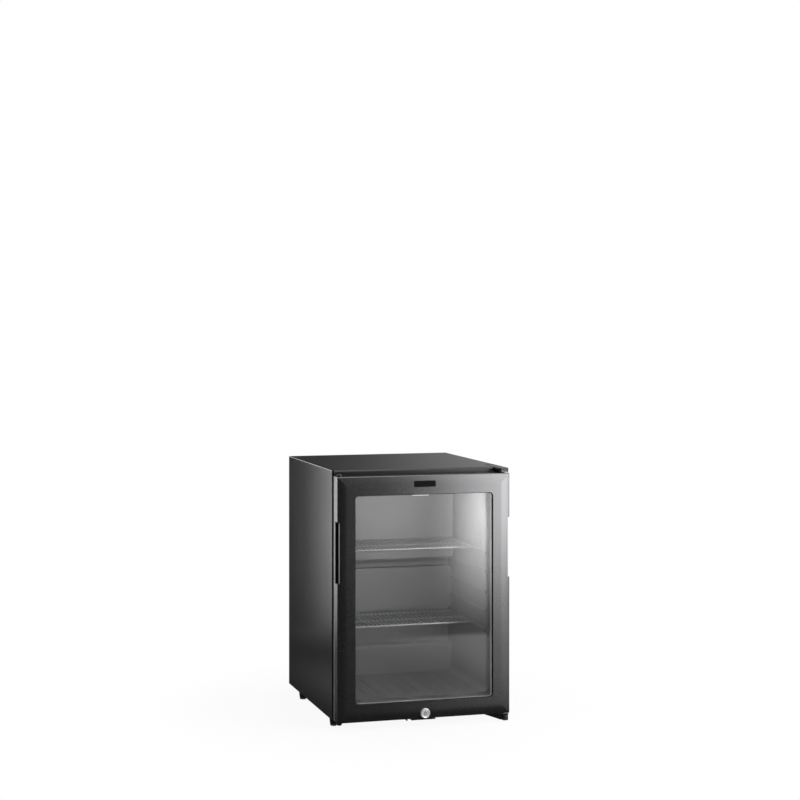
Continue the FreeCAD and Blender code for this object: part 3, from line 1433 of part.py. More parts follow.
def absorber_coil():
    """The snaking tube from the cold plate down to the absorber vessel."""
    points = [V(COIL_X, INNER_BACK, COIL_Z), V(COIL_X, UNIT_Y, COIL_Z)]
    for number in range(COIL_PASSES):
        z = COIL_FIRST_Z - number * COIL_PITCH
        ends = (COIL_X, COIL_INNER_X) if number % 2 == 0 else (COIL_INNER_X, COIL_X)
        points += [V(x, UNIT_Y, z) for x in ends]
    points.append(V(points[-1].x, UNIT_Y, VESSEL_Z))
    bends = [0] + [COIL_BEND] * (len(points) - 2) + [0]
    start = V(VESSEL_START, UNIT_Y, VESSEL_Z)
    return tube(points, bends, TUBE_RADIUS).cut(rod(start, start + V(VESSEL_LENGTH, 0, 0), VESSEL_RADIUS))


def absorber_vessel():
    """The round tank at the foot of the unit, with domed ends and a filling hole in each."""
    base = V(VESSEL_START, UNIT_Y, VESSEL_Z)
    hole = LIQUID_RADIUS - TUBE_WALL
    size = (VESSEL_RADIUS, VESSEL_LENGTH, VESSEL_EDGE_RADIUS)
    return turned_shell(base, V(1, 0, 0), size, VESSEL_WALL, hole)


def liquid_tube():
    """The tube that takes liquid from the tank back to the boiler."""
    points = [
        V(VESSEL_START, UNIT_Y, VESSEL_Z),
        V(BOILER_X, UNIT_Y, VESSEL_Z),
        V(BOILER_X, UNIT_Y, BASE_Z + BOILER_START),
    ]
    return tube(points, [0, LIQUID_BEND, 0], LIQUID_RADIUS)


def saddle(x, z, radius):
    """A plate across a level tube, with a foot on the rear panel."""
    half = radius + STRAP_BAND
    y = (REAR_FACE, UNIT_Y + half)
    points = [
        V(x, y[0], z - half),
        V(x, y[1], z - half),
        V(x, y[1], z + half),
        V(x, y[0], z + half),
    ]
    rounding = half / 2
    web = prism(points, [0, rounding, rounding, 0], V(STRAP_THICKNESS, 0, 0))
    base = block((x, x + STRAP_FOOT), (y[0], y[0] + STRAP_THICKNESS), span(z, half))
    hole = rod(V(x - OVERRUN, UNIT_Y, z), V(x + OVERRUN, UNIT_Y, z), radius + PRESS_GAP)
    plate = web.fuse(base).removeSplitter().cut(hole)
    point = V(x + STRAP_FOOT - SCREW_EDGE + STRAP_THICKNESS, REAR_FACE, z)
    shank = rod(point, point + V(0, STRAP_THICKNESS + OVERRUN, 0), SCREW_RADIUS + PRESS_GAP)
    return plate.cut(shank), point


def collar(z):
    """A plate round the boiler's can, with a foot on the rear panel."""
    half = BOILER_RADIUS + STRAP_BAND
    x = span(BOILER_X, half)
    y = (REAR_FACE, UNIT_Y + half - STRAP_BAND / 2)
    points = [V(x[0], y[0], z), V(x[0], y[1], z), V(x[1], y[1], z), V(x[1], y[0], z)]
    rounding = half / 2
    web = prism(points, [0, rounding, rounding, 0], V(0, 0, STRAP_THICKNESS))
    base = block(x, (y[0], y[0] + STRAP_THICKNESS), (z, z + STRAP_FOOT))
    plate = web.fuse(base).removeSplitter().cut(upright_hole(V(BOILER_X, UNIT_Y, z), BOILER_RADIUS))
    point = V(x[1] - SCREW_EDGE, REAR_FACE, z + STRAP_FOOT - SCREW_EDGE + STRAP_THICKNESS)
    shank = rod(point, point + V(0, STRAP_THICKNESS + OVERRUN, 0), SCREW_RADIUS + PRESS_GAP)
    return plate.cut(shank), point


def unit_straps():
    """The pairs of plates that hold the cooling unit to the rear panel, with their screws' places."""
    vanes_end = VANE_START + (VANE_COUNT - 1) * VANE_PITCH
    vessel_end = VESSEL_START + VESSEL_LENGTH
    inset = VESSEL_EDGE_RADIUS + SADDLE_MARGIN
    boiler_z = BASE_Z + BOILER_START
    return {
        "condenser_saddles": [
            saddle(VANE_START - SADDLE_MARGIN, CONDENSER_Z, TUBE_RADIUS),
            saddle(vanes_end + SADDLE_MARGIN / 2, CONDENSER_Z, TUBE_RADIUS),
        ],
        "vessel_saddles": [
            saddle(VESSEL_START + inset, VESSEL_Z, VESSEL_RADIUS),
            saddle(vessel_end - 2 * inset, VESSEL_Z, VESSEL_RADIUS),
        ],
        "boiler_collars": [collar(boiler_z + share * BOILER_HEIGHT) for share in COLLAR_SHARES],
    }


def strap_screw_points():
    """Where the screws of those plates meet the rear panel."""
    return [point for plates in unit_straps().values() for plate, point in plates]


def control_box():
    """The moulded box for the controls on the rear panel, open to the rear."""
    x = BOX_X
    z = (BOX_LOW, BOX_HIGH)
    y = (REAR_FACE, REAR_FACE + BOX_DEPTH)
    shell = upright_plate(x, z, y, BOX_RADIUS)
    inside_y = (REAR_FACE + BOX_WALL, y[1] + OVERRUN)
    room = upright_plate(grown(x, -BOX_WALL), grown(z, -BOX_WALL), inside_y, BOX_RADIUS - BOX_WALL)
    return shell.cut(room).cut(upright_hole(gland_place(), GLAND_RADIUS))


def control_lid():
    """The flat lid of the control box, with a rim inside its walls."""
    x = BOX_X
    z = (BOX_LOW, BOX_HIGH)
    back = REAR_FACE + BOX_DEPTH
    plate = upright_plate(x, z, (back, back + BOX_LID), BOX_RADIUS)
    inset = BOX_WALL + PRESS_GAP
    rim_y = (back - BOX_LID, back)
    rim = upright_plate(grown(x, -inset), grown(z, -inset), rim_y, BOX_RADIUS - BOX_WALL)
    inner = inset + BOX_WALL
    rim = rim.cut(block(grown(x, -inner), grown(rim_y, OVERRUN), grown(z, -inner)))
    return plate.fuse(rim).removeSplitter()


def gland_place():
    """The middle of the gland's hole in the underside of the control box."""
    return V((BOX_X[0] + BOX_X[1]) / 2, REAR_FACE + BOX_DEPTH / 2, BOX_LOW)


def cable_gland():
    """The gland for the supply cord, pressed into the control box."""
    profile = [
        (GLAND_BORE, -GLAND_LENGTH),
        (GLAND_RADIUS, -GLAND_LENGTH),
        (GLAND_COLLAR_RADIUS, -GLAND_COLLAR),
        (GLAND_COLLAR_RADIUS, 0),
        (GLAND_RADIUS, 0),
        (GLAND_RADIUS, BOX_WALL),
        (GLAND_BORE, BOX_WALL),
    ]
    return turned(profile, [0] * 7, gland_place(), V(0, 0, 1))


def all_parts():
    """Every piece of the minibar by its name."""
    right_side = side_panel()
    right_grip = grip_cup()
    parts = {
        "right_side_panel": right_side,
        "left_side_panel": mirrored(right_side),
        "top_panel": top_panel(),
        "base_panel": base_panel(),
        "rear_panel": rear_panel(),
        "inner_liner": inner_liner(),
        "insulation_foam": insulation_foam(),
        "evaporator_fins": evaporator_fins(),
        "evaporator_cover": evaporator_cover(),
        "drip_gutter": drip_gutter(),
        "lamp_housing": lamp_housing(),
        "lamp_lens": lamp_lens(),
        "lamp_board": lamp_board(),
        "upper_hinge_arm": upper_hinge_arm(),
        "upper_hinge_pin": upper_hinge_pin(),
        "hinge_cap": hinge_cap(),
        "blank_cap": blank_cap(),
        "lower_hinge_bracket": lower_hinge_bracket(),
        "lower_hinge_pin": lower_hinge_pin(),
        "hinge_foot": hinge_foot(),
        "lock_keeper": lock_keeper(),
        "mounting_screws": mounting_screws(),
        "boiler_casing": boiler_casing(),
        "condenser_tube": condenser_tube(),
        "condenser_vanes": condenser_vanes(),
        "absorber_coil": absorber_coil(),
        "absorber_vessel": absorber_vessel(),
        "liquid_tube": liquid_tube(),
        "control_box": control_box(),
        "control_lid": control_lid(),
        "cable_gland": cable_gland(),
        "door_bezel": door_bezel(),
        "door_inner_frame": door_inner_frame(),
        "outer_glass": glass_pane(OUTER_GLASS_Y),
        "inner_glass": glass_pane(INNER_GLASS_Y),
        "glass_spacer": glass_spacer(),
        "glazing_seal": glazing_seal(),
        "door_gasket": door_gasket(),
        "gasket_magnet": gasket_magnet(),
        "grip_cup_right": right_grip,
        "grip_cup_left": mirrored(right_grip),
        "badge_plate": badge_plate(),
        "upper_hinge_bush": hinge_bush(DOOR_TOP, POCKET_Z),
        "lower_hinge_bush": hinge_bush(DOOR_BOTTOM, BASE_Z),
        "upper_blanking_plug": blanking_plug(DOOR_TOP, -1),
        "lower_blanking_plug": blanking_plug(DOOR_BOTTOM, 1),
        "lock_barrel": lock_barrel(),
        "lock_nut": lock_nut(),
        "lock_core": lock_core(),
        "lock_cam": lock_cam(),
        "cam_screw": cam_screw(),
        "lower_shelf": wire_shelf(0),
        "upper_shelf": wire_shelf(RIB_COUNT - 1),
    }
    for name, centre in foot_centres().items():
        parts[name] = foot(centre)
    for name, plates in unit_straps().items():
        parts[name] = Part.makeCompound([plate for plate, point in plates])
    return parts


def main():
    """Write one file for each piece."""
    os.makedirs("parts", exist_ok=True)
    for name, shape in all_parts().items():
        shape.exportStep("parts/" + name + ".step")
        print(name, "solids", len(shape.Solids), "volume", round(shape.Volume), "valid", shape.isValid())


main()
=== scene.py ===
# %% [markdown]
# # A glass-door minibar, dressed for its product photograph
#
# The CAD pieces arrive as plain meshes in one shared frame: metres, +Z up, the door facing -Y.
# This notebook gives each piece a procedural finish, perforates the spacer bar between the panes,
# lights the set and puts the camera where the photographer stood.

# %% Load the frame
import json
import math

import bpy
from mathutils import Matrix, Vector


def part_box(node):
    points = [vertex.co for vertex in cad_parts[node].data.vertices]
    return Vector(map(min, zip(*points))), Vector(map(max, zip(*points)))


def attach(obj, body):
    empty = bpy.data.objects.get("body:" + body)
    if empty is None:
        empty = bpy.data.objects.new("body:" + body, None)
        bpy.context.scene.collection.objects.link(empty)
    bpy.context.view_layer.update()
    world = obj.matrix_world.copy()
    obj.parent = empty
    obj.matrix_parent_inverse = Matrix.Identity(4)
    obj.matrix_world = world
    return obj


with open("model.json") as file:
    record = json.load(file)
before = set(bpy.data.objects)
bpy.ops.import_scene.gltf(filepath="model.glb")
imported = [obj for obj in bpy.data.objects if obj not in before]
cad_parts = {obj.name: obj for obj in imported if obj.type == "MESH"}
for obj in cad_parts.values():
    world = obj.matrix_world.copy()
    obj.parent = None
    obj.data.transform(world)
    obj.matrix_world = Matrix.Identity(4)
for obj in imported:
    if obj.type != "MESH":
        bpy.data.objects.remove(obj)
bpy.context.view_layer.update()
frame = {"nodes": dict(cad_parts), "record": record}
nodes = frame["nodes"]

# %% [markdown]
# ## Node trees in few words
#
# Materials, the world and Geometry Nodes are all node trees. They can be clicked together by hand,
# but a script that builds them can be read, repeated and changed in one place. Four helpers keep
# that short: add a node, wire its inputs by name, do a sum, and open an empty group.

# %% Helpers for node trees
COLOR, FLOAT, VECTOR = "NodeSocketColor", "NodeSocketFloat", "NodeSocketVector"
WHITE = (1, 1, 1, 1)


def add(tree, kind, **settings):
    """A new node with its properties and its unlinked inputs set by name."""
    node = tree.nodes.new(kind)
    for name, value in settings.items():
        if name in node.bl_rna.properties:
            setattr(node, name, value)
        else:
            node.inputs[name.replace("_", " ")].default_value = value
    return node


def feed(tree, node, **sources):
    """Wire output sockets to a node's inputs, each named with _ for a space."""
    for name, source in sources.items():
        tree.links.new(source, node.inputs[name.replace("_", " ")])


def reckon(tree, operation, *values, **settings):
    """The result of a Math node whose inputs are sockets or plain numbers."""
    node = add(tree, "ShaderNodeMath", operation=operation, **settings)
    for socket, value in zip(node.inputs, values):
        if isinstance(value, bpy.types.NodeSocket):
            tree.links.new(value, socket)
        else:
            socket.default_value = value
    return node.outputs[0]


def new_group(name, kind, inputs, outputs):
    """An empty node group with the given sockets, as (tree, its input node, its output node)."""
    tree = bpy.data.node_groups.new(name, kind)
    for label, socket_kind, default in inputs:
        socket = tree.interface.new_socket(label, in_out="INPUT", socket_type=socket_kind)
        if default is not None:
            socket.default_value = default
    for label, socket_kind in outputs:
        tree.interface.new_socket(label, in_out="OUTPUT", socket_type=socket_kind)
    return tree, tree.nodes.new("NodeGroupInput"), tree.nodes.new("NodeGroupOutput")


# %% [markdown]
# ## Shared effects
#
# Effects that several finishes need live in shader node groups. A group takes its settings by
# name and returns plain colours and values, so that every material stays one Principled shader.
# Both groups below end the same way: one value swings the colour and the roughness together.

# %% Swing colour and roughness
def swing_finish(tree, given, result, swing):
    """Scale a group's colour and roughness by one value that changes over the surface."""
    tint = add(tree, "ShaderNodeVectorMath", operation="SCALE")
    feed(tree, tint, Vector=given.outputs["Color"], Scale=swing)
    rough = reckon(tree, "MULTIPLY", given.outputs["Roughness"], swing, use_clamp=True)
    feed(tree, result, Color=tint.outputs[0], Roughness=rough)


# %% [markdown]
# ### Fine grain
#
# A satin paint or a moulded skin is never quite even. An image of real paint would show its seams
# and its size, so two noises do it here, one fine and one slow: they vary the colour and the
# roughness by a few per cent, and the fine one also gives the height for a faint bump.

# %% Fine grain group
SLOW_SCALE = 9.0

grain, given, result = new_group(
    "Fine grain",
    "ShaderNodeTree",
    inputs=[
        ("Color", COLOR, (0.5, 0.5, 0.5, 1)),
        ("Roughness", FLOAT, 0.5),
        ("Scale", FLOAT, 900.0),
        ("Amount", FLOAT, 0.1),
    ],
    outputs=[("Color", COLOR), ("Roughness", FLOAT), ("Height", FLOAT)],
)
place = add(grain, "ShaderNodeTexCoord")
fine = add(grain, "ShaderNodeTexNoise", Detail=3.0, Roughness=0.6)
slow = add(grain, "ShaderNodeTexNoise", Scale=SLOW_SCALE, Detail=2.0)
feed(grain, fine, Vector=place.outputs["Object"], Scale=given.outputs["Scale"])
feed(grain, slow, Vector=place.outputs["Object"])
both = reckon(grain, "ADD", fine.outputs["Fac"], slow.outputs["Fac"])
centred = reckon(grain, "SUBTRACT", both, 1.0)
swing = reckon(grain, "MULTIPLY_ADD", centred, given.outputs["Amount"], 1.0)
swing_finish(grain, given, result, swing)
feed(grain, result, Height=fine.outputs["Fac"])
print("group:", grain.name, len(grain.nodes), "nodes")

# %% [markdown]
# ### Drawn metal
#
# Wire, bar and turned faces carry fine lines along the way they were drawn or cut. Anisotropy
# would bend the highlight but draw no lines, so the group stretches a noise along one axis and
# lets the colour and the roughness follow it.

# %% Drawn metal group
LINE_SWING = 0.2

drawn, given, result = new_group(
    "Drawn metal",
    "ShaderNodeTree",
    inputs=[
        ("Color", COLOR, (0.7, 0.7, 0.7, 1)),
        ("Roughness", FLOAT, 0.3),
        ("Lines", VECTOR, (40.0, 900.0, 900.0)),
    ],
    outputs=[("Color", COLOR), ("Roughness", FLOAT)],
)
place = add(drawn, "ShaderNodeTexCoord")
stretch = add(drawn, "ShaderNodeVectorMath", operation="MULTIPLY")
drawn.links.new(place.outputs["Object"], stretch.inputs[0])
drawn.links.new(given.outputs["Lines"], stretch.inputs[1])
lines = add(drawn, "ShaderNodeTexNoise", Scale=1.0, Detail=2.0)
feed(drawn, lines, Vector=stretch.outputs[0])
swing = add(drawn, "ShaderNodeMapRange", To_Min=1 - LINE_SWING, To_Max=1 + LINE_SWING)
feed(drawn, swing, Value=lines.outputs["Fac"])
swing_finish(drawn, given, result, swing.outputs[0])
print("group:", drawn.name, len(drawn.nodes), "nodes")

# %% [markdown]
# ## Finishes
#
# One function makes a finish. It hands the colour and the roughness through the chosen group and
# sets everything that stays constant on the Principled shader's own sockets. The finishes are kept
# by material slot, so that each CAD piece finds its own by the slot in its record.

# %% Finish maker
BUMP_DEPTH = 0.0002
FINISHES = {}


def grey(level, cool=0.0):
    """A neutral colour, with a little more blue if asked."""
    return (level, level, level + cool)


def finish(
    slot, name, color, roughness,
    metallic=0.0, lines=None, bump=0.0, grain_scale=900.0, amount=0.12, **sockets,
):
    """File a Principled material under its slot; lines choose drawn metal instead of fine grain."""
    material = bpy.data.materials.new(name)
    material.use_nodes = True
    tree = material.node_tree
    shader = tree.nodes["Principled BSDF"]
    group = add(tree, "ShaderNodeGroup", node_tree=drawn if lines else grain)
    settings = {"Color": (*color, 1), "Roughness": roughness}
    settings.update({"Lines": lines} if lines else {"Scale": grain_scale, "Amount": amount})
    for socket, value in settings.items():
        group.inputs[socket].default_value = value
    feed(tree, shader, Base_Color=group.outputs["Color"], Roughness=group.outputs["Roughness"])
    if bump:
        relief = add(tree, "ShaderNodeBump", Strength=bump, Distance=BUMP_DEPTH)
        feed(tree, relief, Height=group.outputs["Height"])
        feed(tree, shader, Normal=relief.outputs["Normal"])
    shader.inputs["Metallic"].default_value = metallic
    for socket, value in sockets.items():
        shader.inputs[socket.replace("_", " ")].default_value = value
    FINISHES[slot] = material


# %% [markdown]
# ### Painted steel
#
# The side panels are folded sheet with a satin coat. They mirror a soft box as a long gradient,
# which plain dark paint would not, so the finish is a dark metal with a low roughness. The base
# and the rear are plain paint, the hinge parts glossier, and the cooling unit's coat has a grain.

# %% Painted steel
finish("side_steel", "Satin painted steel", grey(0.05, 0.001), 0.17, metallic=0.8, bump=0.04)
finish("pan_steel", "Painted pan", grey(0.022, 0.001), 0.5)
finish("hinge_steel", "Black hinge steel", grey(0.008, 0.001), 0.22)
finish("unit_black", "Cooling unit paint", grey(0.040, 0.002), 0.36, bump=0.1)
print("finishes:", len(FINISHES))

# %% [markdown]
# ### Moulded plastic outside
#
# The lid, the grip cups, the feet and the control box are black mouldings with a faint skin. The
# bezel is a moulding too, but it catches the key light along its right and top as metal does, so
# it is set as a dark metal. The badge plate is nearly black with hardly any shine, and bare.

# %% Moulded plastic outside
finish("bezel_grey", "Satin door bezel", grey(0.11, 0.002), 0.27, metallic=0.95, bump=0.04)
finish("lid_black", "Satin black lid", grey(0.006, 0.0005), 0.36, bump=0.05, Specular_IOR_Level=0.4)
finish("grip_black", "Grip black", grey(0.006), 0.45)
finish("plate_black", "Bare badge plate", grey(0.004), 0.35, amount=0.03, Specular_IOR_Level=0.06)
finish("box_black", "Control box", grey(0.012), 0.55, bump=0.15)
finish("foot_black", "Foot", grey(0.010), 0.55)
print("finishes:", len(FINISHES))

# %% [markdown]
# ### Moulded plastic inside
#
# The liner is a vacuum-formed sheet in a middle grey, with a coarser, calmer grain than paint. The
# cold plate's cover is a separate moulding with a grey of its own. The drip gutter's grey is made
# darker than its own colour as painted shade, so that the band below the cover reads as one
# shadowed recess.

# %% Moulded plastic inside
LINER_GRAIN = {"grain_scale": 500.0, "amount": 0.05}

finish("liner_grey", "Moulded liner", grey(0.32), 0.5, **LINER_GRAIN)
finish("cover_grey", "Cold plate cover", grey(0.36), 0.42, **LINER_GRAIN)
# The gutter is darker than the liner as painted shade for the shadowed band under the cover.
finish("gutter_grey", "Drip gutter darkened as painted shade", grey(0.29), 0.5)
finish("inner_frame_grey", "Grey inner frame", (0.20, 0.205, 0.21), 0.5)
finish("bush_plastic", "Bush", (0.55, 0.55, 0.53), 0.45)
finish("lamp_board", "Lamp board", (0.03, 0.10, 0.04), 0.5)
print("finishes:", len(FINISHES))

# %% [markdown]
# ### Rubber and foam
#
# The seals are matt black and only show as thin dark lines around the glass. The foam is hidden
# between liner and panels, but it is finished all the same for anyone who takes the model apart.

# %% Rubber and foam
# The same black also serves the spacer's dots, as painted shade in place of their holes.
finish("seal_rubber", "Black seal and painted hole shade", grey(0.008), 0.6)
finish("gasket_rubber", "Door gasket", grey(0.03, 0.001), 0.6)
finish("foam", "Foam", (0.80, 0.72, 0.50), 0.9, grain_scale=300.0, amount=0.3, bump=0.3)
print("finishes:", len(FINISHES))

# %% [markdown]
# ### Bright metal
#
# Each of these has fine lines. On the wires and the lock they run front to back, on pins, vanes
# and spacer upright, and on the screws they have no direction. The wires, the lock and the spacer
# look duller in the photograph than polished metal, so they are less than fully metallic.

# %% Bright metal
LINES_DEEP, LINES_UPRIGHT = (900.0, 60.0, 900.0), (900.0, 900.0, 60.0)
LINES_WIRE, LINES_PIN, LINES_SCREW = (700.0, 60.0, 700.0), (900.0, 900.0, 80.0), (500.0, 500.0, 500.0)

finish("shelf_wire", "Bright wire", grey(0.66, 0.01), 0.40, metallic=0.75, lines=LINES_WIRE)
finish("lock_chrome", "Lock face", grey(0.80, 0.02), 0.42, metallic=0.7, lines=LINES_DEEP)
finish("lock_steel", "Lock steel", grey(0.76, 0.01), 0.42, metallic=0.7, lines=LINES_DEEP)
finish("pin_steel", "Hinge pin", grey(0.70, 0.01), 0.22, metallic=1.0, lines=LINES_PIN)
finish("screw_steel", "Screw steel", grey(0.62, 0.01), 0.28, metallic=1.0, lines=LINES_SCREW)
finish("vane_aluminium", "Vane aluminium", (0.62, 0.63, 0.64), 0.35, metallic=1.0, lines=LINES_UPRIGHT)
finish("spacer_aluminium", "Spacer bar", grey(0.92), 0.35, metallic=0.25, lines=LINES_UPRIGHT)
print("finishes:", len(FINISHES))

# %% [markdown]
# ### The lamp
#
# The flat white bar at the compartment's ceiling is taken for a lamp that is on. Its lens glows by
# the emission of its own finish, and the housing glows a little from the light inside it.

# %% The lamp
LAMP_GLOW = {"amount": 0.03, "Emission_Color": WHITE}

finish("lamp_white", "Lamp housing", (0.85, 0.85, 0.84), 0.45, Emission_Strength=0.45, **LAMP_GLOW)
finish("lamp_lens", "Frosted lens", (0.92, 0.92, 0.91), 0.5, Emission_Strength=3.0, **LAMP_GLOW)
print("finishes:", len(FINISHES))

# %% [markdown]
# ### Glass
#
# Both panes are solid sheets with real thickness, so full transmission bends and mirrors light at
# each of the four faces. The index is below that of window glass, because this matched the strength
# of the reflections in the photograph. Nothing changes over the pane, so every value sits on the
# shader itself.

# %% Glass
glass = bpy.data.materials.new("Clear glass")
glass.use_nodes = True
pane = glass.node_tree.nodes["Principled BSDF"]
pane.inputs["Base Color"].default_value = (0.97, 0.97, 0.97, 1)
pane.inputs["Roughness"].default_value = 0.0
pane.inputs["IOR"].default_value = 1.40
pane.inputs["Transmission Weight"].default_value = 1.0
FINISHES["glass"] = glass
print("finishes:", len(FINISHES))

# %% [markdown]
# ### Painting the pieces
#
# The record names the material slot of every piece.

# %% Paint the CAD pieces
for piece in frame["record"]["subparts"]:
    obj = nodes[piece["node"]]
    obj.data.materials.clear()
    obj.data.materials.append(FINISHES[piece["material_slot"]])

# %% [markdown]
# ## The perforated spacer bar
#
# The bar that holds the panes apart is filled with drying grains and perforated on its inner face,
# which shows through the glass as fine dotted lines up both sides. Holes cut in the bar would cost
# thousands of faces that nobody sees, so thin dark dots lie on it: painted shade that stands in for
# the dark inside of each hole. Dots in rows are a rule rather than a drawing, and a Geometry Nodes
# group is the place for a rule: two lines of points, one small disc on every point, made real and
# given its material.

# %% A double row of dots
DOT_SIDES = 10

rows, given, result = new_group(
    "Double row",
    "GeometryNodeTree",
    inputs=[
        ("Start", VECTOR, (0.0, 0.0, 0.0)),
        ("Step", VECTOR, (0.0, 0.0, 0.004)),
        ("Second row", VECTOR, (0.0, 0.006, 0.0)),
        ("Turn", "NodeSocketRotation", (0.0, 0.0, 0.0)),
        ("Count", "NodeSocketInt", 10),
        ("Radius", FLOAT, 0.0007),
        ("Depth", FLOAT, 0.0002),
        ("Material", "NodeSocketMaterial", None),
    ],
    outputs=[("Geometry", "NodeSocketGeometry")],
)
sizes = given.outputs
dot = add(rows, "GeometryNodeMeshCylinder", Vertices=DOT_SIDES)
feed(rows, dot, Radius=sizes["Radius"], Depth=sizes["Depth"])
second = add(rows, "ShaderNodeVectorMath", operation="ADD")
rows.links.new(sizes["Start"], second.inputs[0])
rows.links.new(sizes["Second row"], second.inputs[1])
joined = add(rows, "GeometryNodeJoinGeometry")
for start in (sizes["Start"], second.outputs[0]):
    line = add(rows, "GeometryNodeMeshLine", mode="OFFSET")
    feed(rows, line, Count=sizes["Count"], Start_Location=start, Offset=sizes["Step"])
    feed(rows, joined, Geometry=line.outputs["Mesh"])
spread = add(rows, "GeometryNodeInstanceOnPoints")
feed(rows, spread, Points=joined.outputs[0], Instance=dot.outputs["Mesh"], Rotation=sizes["Turn"])
solid = add(rows, "GeometryNodeRealizeInstances")
feed(rows, solid, Geometry=spread.outputs["Instances"])
dressed = add(rows, "GeometryNodeSetMaterial")
feed(rows, dressed, Geometry=solid.outputs["Geometry"], Material=sizes["Material"])
feed(rows, result, Geometry=dressed.outputs["Geometry"])
print("group:", rows.name, len(rows.nodes), "nodes")

# %% [markdown]
# A group only works on an object that carries it as a modifier. This helper lends the group to a
# seed object, sets the inputs by their identifiers, and keeps the outcome as a plain mesh.

# %% Run a group and keep its mesh
def grown_mesh(name, group, **inputs):
    """The plain mesh that a Geometry Nodes group makes with these named inputs."""
    seed = bpy.data.objects.new(name + " seed", bpy.data.meshes.new(name + " seed"))
    bpy.context.scene.collection.objects.link(seed)
    modifier = seed.modifiers.new("Rows", "NODES")
    modifier.node_group = group
    sockets = [item for item in group.interface.items_tree if item.in_out == "INPUT"]
    labels = {item.name: item.identifier for item in sockets}
    for label, value in inputs.items():
        modifier[labels[label.replace("_", " ")]] = value
    bpy.context.view_layer.update()
    made = seed.evaluated_get(bpy.context.evaluated_depsgraph_get())
    mesh = bpy.data.meshes.new_from_object(made)
    seed.modifiers.remove(modifier)
    bpy.data.objects.remove(seed)
    obj = bpy.data.objects.new(name, mesh)
    bpy.context.scene.collection.objects.link(obj)
    return obj


# %% [markdown]
# The rows follow the bar itself: its box gives the inner faces, the middle of its depth and the
# height between its corners, where the perforation stops short.

# %% Perforate the spacer bar
SPACER_WIDTH = 0.0065
PERFORATION_PITCH = 0.0036
ROW_GAP = 0.006
DOT_RADIUS = 0.0014
CORNER_MARGIN = 0.008
ONTO_THE_SIDE = (0, math.radians(90), 0)

low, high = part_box("glass_spacer")
inner_x = high.x - SPACER_WIDTH
inner_low, inner_high = low.z + SPACER_WIDTH, high.z - SPACER_WIDTH
row_y = (low.y + high.y - ROW_GAP) / 2
dot_count = int((inner_high - inner_low - 2 * CORNER_MARGIN) / PERFORATION_PITCH)
for side, x in (("left", -inner_x), ("right", inner_x)):
    dots = grown_mesh(
        "spacer_dots_" + side,
        rows,
        Start=(x, row_y, inner_low + CORNER_MARGIN),
        Step=(0, 0, PERFORATION_PITCH),
        Second_row=(0, ROW_GAP, 0),
        Turn=ONTO_THE_SIDE,
        Count=dot_count,
        Radius=DOT_RADIUS,
        # The seal black on the dots is painted shade for the inside of each hole.
        Material=FINISHES["seal_rubber"],
    )
    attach(dots, "door")
    print(dots.name, len(dots.data.polygons), "faces")

# %% [markdown]
# ## The set
#
# The photograph's ground is white, but a white room would wash out dark gloss. So the ground is
# white only to rays that are seen: from the camera, off mirrors and through glass. All other rays
# meet a low, even sky and a pale floor. The light on the object comes from soft boxes, and black
# flags cover the white where gloss should mirror dark.

# %% What the camera, mirrors and glass see
def seen_rays(tree):
    """A value that is 1 for camera, glossy and transmission rays and 0 for the rest."""
    path = add(tree, "ShaderNodeLightPath").outputs
    either = reckon(tree, "MAXIMUM", path["Is Camera Ray"], path["Is Glossy Ray"])
    return reckon(tree, "MAXIMUM", either, path["Is Transmission Ray"])


def blended(tree, share, first, second, output):
    """Send a mix of two shaders to the tree's output; a share of 1 is all second."""
    mix = add(tree, "ShaderNodeMixShader")
    for socket, source in zip(mix.inputs, (share, first.outputs[0], second.outputs[0])):
        tree.links.new(source, socket)
    feed(tree, tree.nodes[output], Surface=mix.outputs[0])


# %% [markdown]
# ### World
#
# A world can hold two backgrounds and choose by the kind of ray. The weak one is the sky that
# lights the object from all sides, the full white one is the backdrop that is seen.

# %% World
SKY_STRENGTH = 0.20

world = bpy.data.worlds.new("Studio")
bpy.context.scene.world = world
world.use_nodes = True
tree = world.node_tree
sky = tree.nodes["Background"]
sky.inputs["Color"].default_value = WHITE
sky.inputs["Strength"].default_value = SKY_STRENGTH
backdrop = add(tree, "ShaderNodeBackground", Color=WHITE, Strength=1.0)
blended(tree, seen_rays(tree), sky, backdrop, "World Output")
print("world ready, sky", SKY_STRENGTH)

# %% [markdown]
# ### Sheets
#
# Floor, flags and soft boxes are all flat sheets. A plane from the Add menu would have to be
# turned and scaled into place; four corners say directly where a sheet stands.

# %% Sheets
def upright(x, y, z):
    """Corners of a sheet that faces front or back, from its ranges in x and z."""
    return [(x[0], y, z[0]), (x[1], y, z[0]), (x[1], y, z[1]), (x[0], y, z[1])]


def sideways(x, y, z):
    """Corners of a sheet that faces left or right, from its ranges in y and z."""
    return [(x, y[0], z[0]), (x, y[1], z[0]), (x, y[1], z[1]), (x, y[0], z[1])]


def level(x, y, z):
    """Corners of a sheet that lies flat, from its ranges in x and y."""
    return [(x[0], y[0], z), (x[1], y[0], z), (x[1], y[1], z), (x[0], y[1], z)]


def sheet(name, corners):
    """A flat four-cornered stage piece."""
    mesh = bpy.data.meshes.new(name)
    mesh.from_pydata(corners, [], [(0, 1, 2, 3)])
    obj = bpy.data.objects.new(name, mesh)
    bpy.context.scene.collection.objects.link(obj)
    return obj


# %% [markdown]
# ### Floor
#
# The floor is pale paper under a white veil. The veil thins near the object, where the paper and
# the soft contact shadow on it come through, and it is complete further out, so that floor and
# background meet without a line.

# %% Floor
FLOOR_REACH = 9.0
VEIL_NEAR, VEIL_FAR = 0.25, 0.6
VEIL_AT_OBJECT = 0.92

